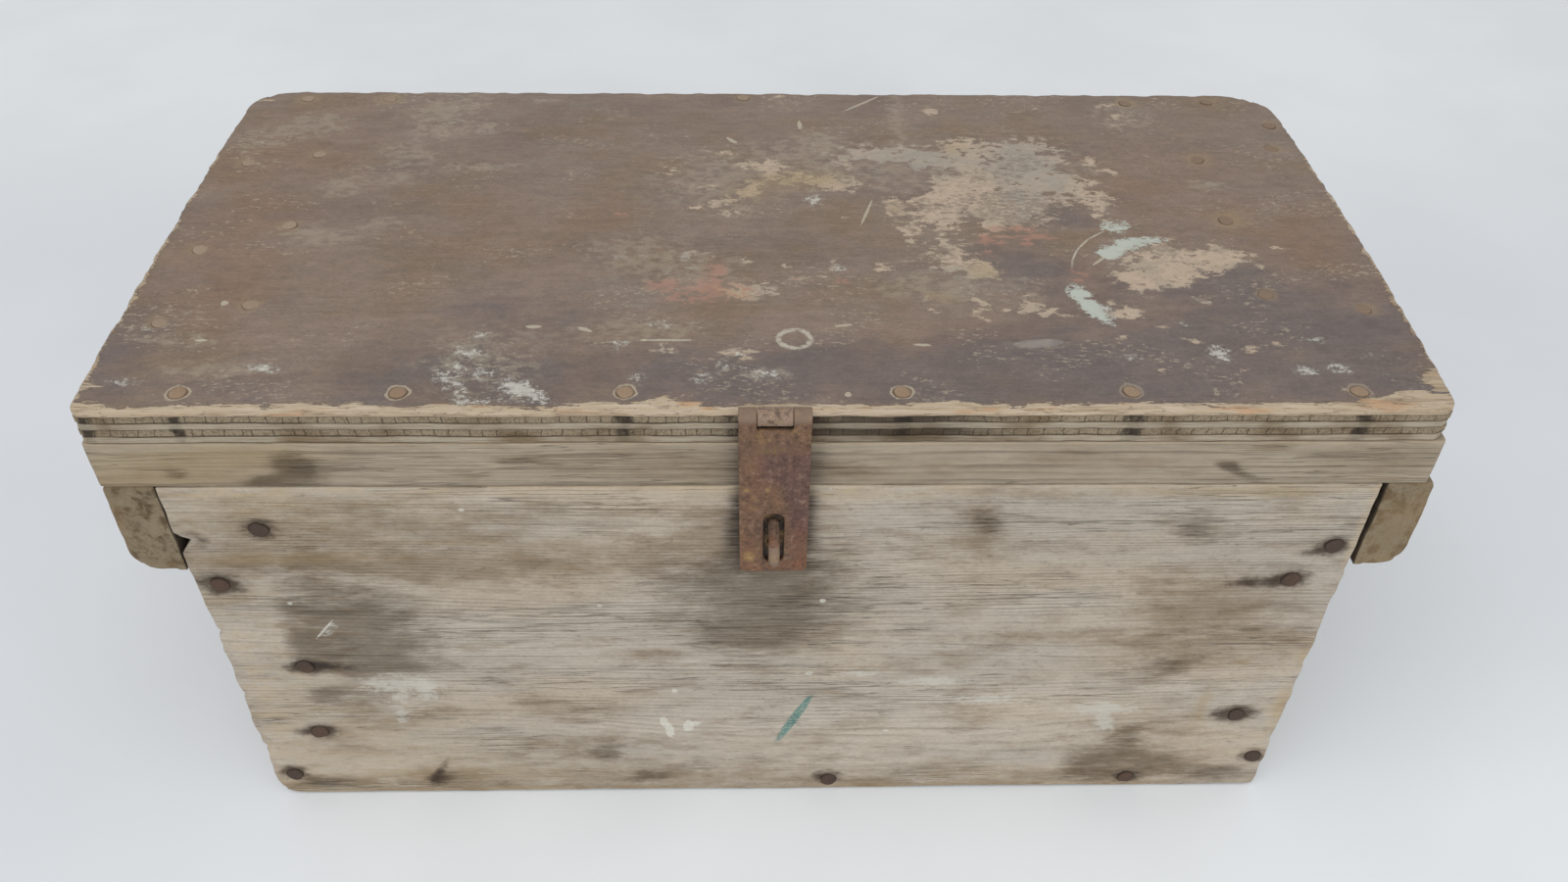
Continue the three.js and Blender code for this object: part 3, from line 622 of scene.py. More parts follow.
def front_drops(f, wood, colours):
    """A dry brush stroke of teal and the white drops on the front board."""
    brush = f.streaks(2.2, 1.4, detail=5, roughness=0.7, shift=15)
    teal = f.drop(*TEAL_STROKE, edge=brush, rough=1.7, upright=True)
    thin = f.add(RAMP, brush, 0.40, 0.56, 0.4, 1.0)
    wood = f.lay(wood, colours.teal, f.add(TIMES, teal, thin), 0.9)
    for shape in WHITE_DROPS:
        white = f.drop(*shape, edge=brush, rough=1.6, upright=True)
        wood = f.lay(wood, colours.white, white, 0.6)
    return wood


def rim_pine(colours, turn, name):
    """Pine of the lid's rim: sawn, warmer at the corners and grey with handling in the middle."""
    f = Finish(name, turn)
    wood, height, fibre = pine(
        f, colours.rim, colours.rim_line, pith=(-176.0, 190.0), ring=3.6, line=0.8, swing=12.0,
        checks=(0.47, 0.36),
    )
    smear = f.streaks(17, 5.0, detail=8, roughness=0.68, shift=5)
    blotch = f.streaks(50, 12, detail=5, roughness=0.6, shift=90)
    wood = f.patchy(wood, "#cdc1b0", blotch, 0.48, 0.70, 0.5, "MULTIPLY")
    wood = f.shade(wood, f.streaks(9, 4, detail=6, roughness=0.7, shift=47), 0.92, 1.07)
    wood = weather(f, wood, colours, smear, broken=0.5)
    wood = f.mark(wood, "#b8a588", "rubbed", smear, 2.0, 0.3, 0.4)
    return f.close(wood, height, 0.35, f.add(RANGE, fibre, 0.2, 0.8, 0.78, 0.92))


def inside_pine(colours, turn, name, pith=(-150.0, 60.0)):
    """Planed pine that weather hasn't reached: warm, with dust in the hollows."""
    f = Finish(name, turn)
    wood, height, fibre = pine(f, colours.inside, colours.inside_line, pith, ring=3.4, line=0.8)
    dust = f.add(RAMP, f.streaks(60, 34, detail=4, shift=17), 0.42, 0.66)
    wood = f.lay(wood, "#8f826f", dust, 0.45)
    wood = f.mark(wood, colours.soot, "iron", fibre, 0.8, 0.3, 0.6)
    return f.close(wood, height, 0.25, f.add(RANGE, fibre, 0.2, 0.8, 0.72, 0.86))


def handle_pine(colours):
    """Handle battens: grimy sawn pine whose open end grain has gone brown and mossy."""
    f = Finish("grimy_end_grain_pine", ALONG_Y)
    wood, height, _ = pine(
        f, colours.handle, colours.handle_line, pith=(-350.0, 150.0), ring=2.8, line=0.3
    )
    mottle = f.streaks(60, 6.5, detail=7, roughness=0.66)
    pores = f.streaks(14, 1.3)
    wood = f.patchy(wood, "#aa9c84", mottle, 0.47, 0.62, 0.9, "MULTIPLY")
    wood = f.lay(wood, "#8d7f69", f.add(RAMP, mottle, 0.34, 0.46, 1.0, 0.0), 0.7)
    wood = f.patchy(wood, "#53472f", pores, 0.58, 0.72, 0.4)
    wood = f.mark(wood, "#927a5b", "rubbed", mottle, 3.2, 0.5, 0.45)
    wood = f.mark(wood, colours.soot, "iron", mottle, 1.2, 0.3, 0.7)
    height = f.add(TIMES_PLUS, pores, -0.8, height)
    return f.close(wood, height, 0.22, 0.88)


def brushed_paint(f, colours, fibre, other):
    """The paint where it is whole: brown clouds, and brush lines that follow the veneer."""
    broad = f.streaks(80, 46, detail=5, roughness=0.6, shift=12)
    olive = f.streaks(60, 38, detail=6, roughness=0.6, shift=28)
    paint = f.patchy(colours.paint, colours.paint_dark, broad, 0.42, 0.68, 0.6)
    paint = f.patchy(paint, colours.paint_grey, other, 0.48, 0.70, 0.55)
    paint = f.patchy(paint, "#7d6851", olive, 0.44, 0.68, 0.6)
    paint = f.shade(paint, f.streaks(70, 5, detail=4, roughness=0.6, shift=64), 0.94, 1.06)
    paint = f.mark(paint, "#866a55", "brown", other, 2.2, 0.6, 0.5)
    paint = f.mark(paint, "#5f5658", "dark", other, 2.6, 0.6, 0.62)
    paint = f.shade(paint, fibre, 0.93, 1.07)
    paint = f.shade(paint, f.streaks(8, 4, detail=7, roughness=0.72, shift=18), 0.87, 1.12)
    paint = f.shade(paint, f.streaks(2.4, 1.5, detail=4, roughness=0.7, shift=35), 0.9, 1.1)
    return f.shade(paint, f.streaks(0.9, 0.9, detail=2), 0.92, 1.09)


def bare_patches(f, colours, flake, crumb, chip):
    """Primer and dirty wood, as they show where the paint is gone."""
    grubby = f.streaks(16, 10, detail=7, roughness=0.68, shift=8)
    bare = f.patchy(colours.bare, colours.bare_grey, grubby, 0.44, 0.64, 0.6)
    bare = f.mark(bare, "#98958c", "greyed", flake, 3.2, 0.7, 0.6)
    bare = f.mark(bare, "#a8946f", "ochre", flake, 2.2, 0.6, 0.6)
    bare = f.patchy(bare, "#7f7267", chip, 0.58, 0.68, 0.6)
    return f.shade(bare, crumb, 0.86, 1.09)


def tins_and_scrapes(f, paint, crumb):
    """Two rings left by tins, a pale crescent, and scrapes and specks of old filler."""
    for *oval, low, high in TIN_RINGS:
        width = high - low
        jagged = f.add(TIMES_PLUS, crumb, 1.8 * width, f.oval(*oval))
        shift, thin = 0.9 * width, 0.2 * width
        inner = f.add(RAMP, jagged, low + shift, low + shift + thin)
        outer = f.add(RAMP, jagged, high + shift - thin, high + shift, 1.0, 0.0)
        band = f.add(TIMES, inner, outer)
        band = f.add(TIMES, band, f.add(RAMP, crumb, 0.36, 0.52, 0.2, 1.0))
        band = f.add(TIMES, band, f.add(FIELD, attribute_name="line_here").outputs["Fac"])
        paint = f.lay(paint, "#c6c0ae", band, 0.75)
    paint = f.lay(paint, "#9b9591", f.drop(*LID_CRESCENT, edge=crumb), 0.4)
    for shape in LID_STROKES:
        paint = f.lay(paint, "#c2b9a4", f.drop(*shape, edge=crumb, rough=1.8), 0.7)
    return paint


def nail_rims(f, paint, flake):
    """A dark line close round each nail of the front row, a pale ring of chipped paint outside
    it, and a faint rusty ring round every nail."""
    gap = f.add(FIELD, attribute_name="nail_gap").outputs["Fac"]
    rough_gap = f.add(TIMES_PLUS, flake, 6.0, gap)
    rising = f.add(RAMP, rough_gap, 7.0, 7.4)
    falling = f.add(RAMP, rough_gap, 7.9, 8.7, 1.0, 0.0)
    halo = f.add(TIMES, rising, falling)
    front_row = f.add(FIELD, attribute_name="halo").outputs["Fac"]
    paint = f.lay(paint, "#bcae98", f.add(TIMES, halo, front_row), 0.8)
    rim = f.add(RAMP, gap, 3.9, 4.6, 1.0, 0.0)
    paint = f.lay(paint, "#54463b", f.add(TIMES, rim, front_row), 0.6)
    return f.lay(paint, "#937f63", f.add(RAMP, rough_gap, 6.4, 8.6, 1.0, 0.0), 0.35)


def torn_veneer(f, colours, splinter):
    """The ply below the torn veneer: pale splinters, brown layers and fine dark cracks."""
    layer = f.streaks(30, 2.4, detail=4, roughness=0.6, shift=81)
    crack = f.add(SIZE, f.add(LESS, f.streaks(26, 2.6, detail=3, shift=97), 0.5))
    crack = f.add(RAMP, crack, 0.004, 0.018, 1.0, 0.0)
    fresh = f.patchy(colours.torn, "#c9b9a6", splinter, 0.48, 0.62, 0.7)
    fresh = f.patchy(fresh, "#b98c63", f.streaks(34, 4, detail=4, shift=38), 0.56, 0.66, 0.6)
    fresh = f.lay(fresh, "#957f68", f.add(RAMP, layer, 0.36, 0.48, 1.0, 0.0), 0.6)
    fresh = f.lay(fresh, "#5e5041", crack, 0.5)
    return f.mark(fresh, "#927a5e", "raw", layer, 2.0, 0.4, 0.5)


def worn_paint(colours):
    """Old brown household paint brushed on plywood: thin, dusty and scuffed along the grain,
    flaked to primer and bare wood in patches, with traces of salmon and aqua, and the top
    veneer torn off in front. A dull low sheen on the paint, none where it is gone."""
    f = Finish("worn_paint_on_plywood")
    fibre = f.streaks(13, 0.9, detail=4, roughness=0.65)
    other = f.streaks(34, 22, detail=6, roughness=0.62, shift=57)
    flake = f.streaks(6.6, 4.4, detail=9, roughness=0.7, shift=3)
    crumb = f.streaks(2.9, 2.2, detail=7, roughness=0.76, shift=66)
    chip = f.streaks(4.0, 1.9, detail=6, roughness=0.7, shift=29)
    crowd = f.add(RAMP, f.streaks(50, 30, detail=4, shift=70), 0.42, 0.62, 0.0, 0.15)
    chip = f.add(PLUS, chip, crowd)
    paint = brushed_paint(f, colours, fibre, other)
    paint = f.patchy(paint, "#a99c88", chip, 0.69, 0.75, 0.65)
    paint = f.mark(paint, "#a39783", "smear", flake, 4.6, 0.4, 0.5)
    paint = f.mark(paint, "#a08a66", "ochre", flake, 2.6, 0.6, 0.4)

    worn = f.ragged("worn", flake, 4.4, 0.16)
    paint = f.lay(paint, bare_patches(f, colours, flake, crumb, chip), worn)
    paint = f.mark(paint, colours.salmon, "salmon", flake, 5.0, 0.3, 0.62)
    paint = f.mark(paint, colours.aqua, "aqua", crumb, 2.8, 0.16, 0.85)
    crust = f.ragged("white", crumb, 4.0, 0.3)
    thin = f.add(TIMES, crust, f.add(RANGE, crumb, 0.38, 0.6, 0.55, 1.0))
    paint = f.lay(paint, colours.white, thin, 0.72)
    paint = tins_and_scrapes(f, paint, crumb)
    paint = nail_rims(f, paint, flake)

    split = f.streaks(15, 2.2, detail=7, roughness=0.7, shift=44)
    torn = f.ragged("torn", split, 2.4, 0.06)
    splinter = f.streaks(34, 0.9, detail=5, roughness=0.66, shift=21)
    paint = f.lay(paint, torn_veneer(f, colours, splinter), torn)

    height = f.add(TIMES_PLUS, worn, -0.8, fibre)
    height = f.add(TIMES_PLUS, crust, 0.9, height)
    ridges = f.add(TIMES, splinter, torn)
    height = f.add(TIMES_PLUS, ridges, 3.0, height)
    rough = f.add(RAMP, other, 0.3, 0.7, 0.5, 0.66)
    matt = f.add(GREATER, worn, torn)
    rough = f.add(TIMES_PLUS, matt, 0.22, rough)
    return f.close(paint, height, 0.16, rough, specular=0.4)


def ply_edge(colours, bottom, ply):
    """Sawn and weathered edge of plywood: plies along the grain are pale and lined, plies across
    it are dark end grain split by small upright checks, and glue shows dark between them."""
    f = Finish("weathered_plywood_edge")
    parts = f.add("ShaderNodeSeparateXYZ", f.place)
    waver = f.streaks(60, 6, detail=3, shift=9)
    level = f.add(TIMES_PLUS, waver, 0.8, parts.outputs["Z"])
    level = f.add(LESS, level, bottom + 0.4)
    plies = f.add(TIMES, level, 1 / ply)
    number = f.add(WHOLE, plies)
    part = f.add(PART, plies)
    turned = f.add(FIELD, attribute_name="endwise").outputs["Fac"]
    order = f.add(PLUS, number, turned)
    cross = f.add(RAMP, f.add(MATH, order, 2.0, operation="FLOORED_MODULO"), 0.3, 0.7)

    along = f.add(PLUS, parts.outputs["X"], parts.outputs["Y"])
    shifted = f.add(TIMES_PLUS, number, 17.3, along)
    jitter = f.add(TIMES_PLUS, waver, 5.0, shifted)
    cells = f.add(
        VORONOI, sockets={"W": jitter, "Scale": 0.15, "Randomness": 1.0},
        voronoi_dimensions="1D", feature="DISTANCE_TO_EDGE",
    )
    split = f.add(TIMES, f.add(RAMP, cells, 0.012, 0.04, 1.0, 0.0), cross)
    some = f.add(RAMP, f.streaks(60, 60, shift=77), 0.34, 0.52, 0.25, 1.0)
    split = f.add(TIMES, split, some)
    fibre = f.streaks(30, 0.55, detail=4, roughness=0.62)
    grit = f.streaks(1.0, 1.0, detail=4)
    mottle = f.streaks(44, 24, detail=4, shift=51)

    lined = f.add(RAMP, fibre, 0.47, 0.62)
    long_ply = f.lay(colours.ply_long, "#8b7b66", lined, 0.7)
    cross_ply = f.lay(colours.ply_cross, "#66573f", f.add(RAMP, grit, 0.47, 0.62), 0.6)
    wood = f.lay(long_ply, cross_ply, cross)
    wood = f.patchy(wood, "#b9ab95", mottle, 0.46, 0.66, 0.9, "MULTIPLY")
    rim = f.add(SIZE, f.add(LESS, part, 0.5))
    glue = f.add(RAMP, rim, 0.42, 0.46)
    uneven = f.streaks(26, 5, detail=4, shift=23)
    worn_glue = f.add(RAMP, uneven, 0.36, 0.55, 0.55, 1.0)
    glue = f.add(TIMES, glue, worn_glue)
    wood = f.lay(wood, "#3a3025", glue, 0.8)
    wood = f.lay(wood, "#3a2f24", split, 0.62)
    iron = f.ragged("iron", f.streaks(4, 4, detail=6, roughness=0.7, shift=19), 3.0, 0.5)
    iron = f.add(TIMES, iron, f.add(RANGE, cross, 0.0, 1.0, 0.3, 1.0))
    damp = f.ragged("damp", f.streaks(14, 3, detail=5, shift=19), 1.6, 0.7)
    damp = f.add(TIMES, damp, f.add(RANGE, cross, 0.0, 1.0, 0.45, 1.0))
    wood = f.lay(wood, "#33271d", damp, 0.85)
    wood = f.lay(wood, "#2b221b", iron, 0.9)
    top = f.ragged("torn", f.streaks(20, 1.5, detail=5, roughness=0.68, shift=44), 2.0, 0.1)
    wood = f.lay(wood, f.lay(colours.torn, "#8b7660", lined, 0.7), top)
    height = f.add(TIMES_PLUS, split, -0.9, fibre)
    height = f.add(TIMES_PLUS, glue, -1.2, height)
    height = f.add(TIMES_PLUS, iron, -1.5, height)
    return f.close(wood, height, 0.45, 0.88)


def rusty_iron(colours, name, base, clean=0.0):
    """Rolled sheet iron left outdoors: a thin, tight, matt rust, violet brown where it is old,
    with ochre and orange blooms, pitted at half a millimetre. The metal hardly shows."""
    f = Finish(name)
    other = f.streaks(9, 9, detail=7, roughness=0.7, shift=40)
    mottle = f.streaks(2.6, 2.6, detail=6, roughness=0.72)
    grain = f.streaks(0.8, 0.8, detail=4, roughness=0.7)
    pits = f.add(VORONOI, sockets={"Vector": f.place, "Scale": 0.75}).outputs["Distance"]
    rust = f.patchy(base, colours.rust_ochre, other, 0.50, 0.64, 0.55)
    rust = f.patchy(rust, "#624b3e", f.streaks(14, 14, detail=5, shift=91), 0.5, 0.66, 0.5)
    rust = f.mark(rust, colours.rust_violet, "violet", other, 3.6, 0.7, 0.75)
    rust = f.mark(rust, colours.rust_orange, "bloom", other, 3.2, 0.6, 0.65)
    # Pale ochre spots of rust; on the staple's wire this mark is a painted highlight
    rust = f.mark(rust, "#a98a55", "ochre_spot_and_highlight", mottle, 2.8, 0.3, 0.7)
    rust = f.patchy(rust, "#3f2f29", mottle, 0.49, 0.64, 0.65)
    rust = f.lay(rust, "#957b68", f.add(RAMP, mottle, 0.34, 0.46, 1.0, 0.0), 0.5)
    rust = f.shade(rust, grain, 0.7, 1.2)
    rust = f.shade(rust, f.streaks(5, 5, detail=6, roughness=0.7, shift=22), 0.86, 1.26)
    rust = f.mark(rust, "#8f7c6b", "rubbed", mottle, 1.6, 0.35, 0.55)
    pit = f.add(RAMP, pits, 0.1, 0.5)
    height = f.add(TIMES_PLUS, pit, 0.35, grain)
    height = f.add(TIMES_PLUS, mottle, 0.8, height)
    rough = f.add(RAMP, grain, 0.3, 0.7, 0.62, 0.82)
    return f.close(rust, height, 0.22, rough, metallic=clean, specular=0.4)


def nail_iron(name, base, high, varied=0.35, shaded=0.0):
    """Forged iron nail heads: hammered, browned and pitted, rubbed paler on the crown, and
    browner towards the right of the lid."""
    f = Finish(name)
    grain = f.streaks(0.85, 0.85, detail=4, roughness=0.65)
    rust = f.patchy(base, high, grain, 0.48, 0.64, 0.6)
    rust = f.patchy(rust, "#75513b", f.streaks(33, 33, detail=0), 0.5, 0.62, varied)
    across = f.add("ShaderNodeSeparateXYZ", f.place).outputs["X"]
    rust = f.patchy(rust, "#856f5c", across, -60.0, 240.0, shaded)
    rust = f.mark(rust, "#33291f", "rim", grain, 0.9, 0.3, 0.5)
    return f.close(rust, grain, 0.3, 0.72, metallic=0.15)


# Marks of wear and dirt, and painted shadow beside the strap, in millimetres


FRONT_NAILS = (  # heads on the front board, along X and up Z
    (-231, 205.5), (-258, 169), (-232, 109), (-235, 56), (-259, 20),
    (257, 191.5), (243.5, 169.5), (242, 65), (262, 28), (29, 11.5), (195, 9),
)
LID_NAILS = (  # heads on the lid behind its front row, along X and Y
    (-275, -81), (-275.5, -22), (-276, 61), (-239, -67), (-239, 0), (-241, 70), (-263, 133.5),
    (-216.5, 133.5), (-16, 137), (204, 132), (252, 134), (280, 106), (273, 79.5), (229, 67),
    (228, 6), (229, -58.5), (271, -70),
)
# Iron stains on the front edge of the lid: the place along X and the half width
LID_IRON = ((-251, 1.8), (-288, 2.2), (-65, 2.6), (52, 2.4), (150, 3.2), (248, 3.2))

# Soft ovals on the face of the front board, by the field that they fill: the middle along X and
# up Z, the two half lengths, the strength, and the first one's angle where it is turned
FRONT_MARKS = {
    "stain": (
        (-212, 145, 30, 26, 0.85), (-213, 122, 26, 10, 0.85), (-186, 128, 16, 22, 0.45),
        (-205, 88, 13, 7, 0.6), (-228, 87, 8, 4, 0.9), (-205, 109, 36, 3, 0.7),
        (-6, 168, 42, 9, 0.85), (-6, 148, 33, 12, 0.9), (-8, 128, 27, 11, 0.9),
        # (-6, 178, 20, 7, 0.8) is a painted shadow under the lower end of the strap
        (-6, 178, 20, 7, 0.8), (-2, 200, 14, 40, 0.9), (-88, 38, 8, 7, 0.8),
        (-246, 11, 15, 5, 0.75), (-70, 14, 9, 7, 0.6), (-42, 22, 12, 4, 0.55),
        (176, 21, 14, 13, 1.0), (205, 24, 20, 10, 0.8), (245, 14, 16, 5, 0.8),
        (190, 47, 7, 9, 0.7), (196, 106, 12, 7, 0.75), (192, 204, 9, 10, 0.55, 40),
        (197, 200, 14, 3, 0.5), (94, 208, 6, 9, 0.5), (216, 133, 30, 3, 0.6, 6),
    ),
    "smudge": (
        (-110, 41, 24, 8, 0.9), (-116, 77, 13, 8, 0.6), (-64, 116, 16, 4, 0.6),
        (90, 192, 18, 8, 0.6), (125, 128, 38, 5, 0.55), (92, 110, 10, 6, 0.6),
        (185, 126, 22, 5, 0.6), (215, 155, 28, 14, 0.7), (205, 130, 20, 16, 0.6),
        (235, 118, 26, 10, 0.5), (-140, 186, 130, 9, 0.55), (-215, 195, 30, 12, 0.5),
        (-200, 70, 24, 12, 0.45), (45, 60, 14, 6, 0.4), (200, 60, 22, 16, 0.5),
        (-30, 195, 14, 16, 0.8), (25, 195, 12, 14, 0.6), (-178, 16, 16, 8, 0.7),
        (-60, 20, 40, 8, 0.5), (150, 40, 30, 6, 0.35), (-175, 205, 80, 16, 0.6),
        (-150, 176, 70, 8, 0.6), (90, 212, 8, 14, 0.7), (210, 145, 26, 26, 0.4, 30),
        (0, 6, 270, 11, 0.62),
    ),
    "yellow": (
        (-215, 187, 46, 3, 0.9), (-150, 196, 20, 2, 0.6), (223, 74, 3, 15, 0.8),
        (265, 72, 3, 16, 0.9), (235, 110, 4, 5, 0.7), (266, 115, 4, 10, 0.6),
        (-150, 16, 50, 5, 0.5), (30, 225, 60, 3, 0.5), (210, 226, 40, 3, 0.7),
        (-262, 5, 10, 4, 0.7), (-150, 2, 110, 2.5, 0.8), (100, 2, 90, 2.5, 0.7),
        (-235, 90, 45, 120, 0.4), (-190, 25, 90, 22, 0.35), (220, 30, 60, 30, 0.3),
        (-200, 215, 80, 14, 0.4), (160, 228, 130, 4, 0.4),
    ),
    "iron": (
        *((x, z, 6.4, 4.6, 1.0) for x, z in FRONT_NAILS), (-222, 109, 14, 2.5, 0.8),
        (231, 168, 13, 3.0, 0.9, 5), (242, 65, 10, 4, 0.8), (-258, 169, 10, 5, 0.7),
        (-181, 13, 7, 4.5, 0.75, 30), (-180, 20, 1.6, 9, 0.8, -28), (250, 188, 9, 2, 0.6, 8),
        # (-3, 180, 16, 2.5, 0.5) is a painted shadow line under the lower end of the strap
        (-240, 56, 9, 3, 0.6), (-262, 199, 4, 4, 0.6), (-3, 180, 16, 2.5, 0.5),
    ),
    # Painted shadow, with some stain, down both sides of the strap and under its lower end
    "strap_shadow_and_stain": (
        (-18, 218, 3.4, 20, 1.0), (-20, 198, 4.5, 12, 0.8), (13.5, 222, 3.6, 10, 1.0),
        (13.5, 200, 3.2, 12, 0.9), (-2, 182, 19, 3, 0.7),
    ),
    "chalk": (
        (-188, 94, 15, 7, 0.8), (-192, 73, 4, 9, 0.7), (-176, 88, 4, 8, 0.6),
        (82, 94.5, 14, 3, 0.95), (110, 79, 12, 3.5, 0.9), (170, 71, 15, 4, 1.0),
        (174, 60, 4, 9, 1.0, 12), (42, 101, 11, 1.6, 0.8), (-215, 136, 2, 9, 0.5, -35),
    ),
}
FRONT_RUBBED = (
    (-258, 95, 8, 60, 0.5), (262, 70, 6, 50, 0.5), (-100, 228, 170, 3, 0.6),
    (267, 205, 2.5, 26, 0.9),
)

# Soft ovals on the face of the lid's front rail, in the same way
RAIL_MARKS = {
    "stain": (
        (-207, 241, 9, 9, 1.0), (-224, 235, 8, 3, 0.7), (-258, 239, 5, 3, 0.6),
        (-70, 241, 60, 8, 0.22), (-116, 247, 9, 2, 0.6), (200, 239, 11, 2, 0.8, -28),
        (196, 243, 4, 2, 0.7), (0, 231.6, 300, 1.0, 0.6),
    ),
    "smudge": (
        (-60, 242, 90, 10, 0.26), (60, 240, 60, 8, 0.26), (130, 248, 16, 3, 0.5),
        (258, 246, 24, 7, 0.5), (212, 253, 9, 2, 0.6, 12), (-240, 240, 50, 12, 0.3),
        (-46, 244, 28, 9, 0.35),
    ),
    "yellow": ((-262, 242, 40, 9, 1.0), (-222, 250, 30, 4, 0.8), (270, 235, 20, 4, 0.4)),
    "iron": ((102, 232, 2, 1, 0.6),),
    # Painted shadow, with some stain, beside the strap
    "strap_shadow_and_stain": ((-19, 238, 6, 13, 0.7), (14.5, 240, 6, 12, 0.75)),
}

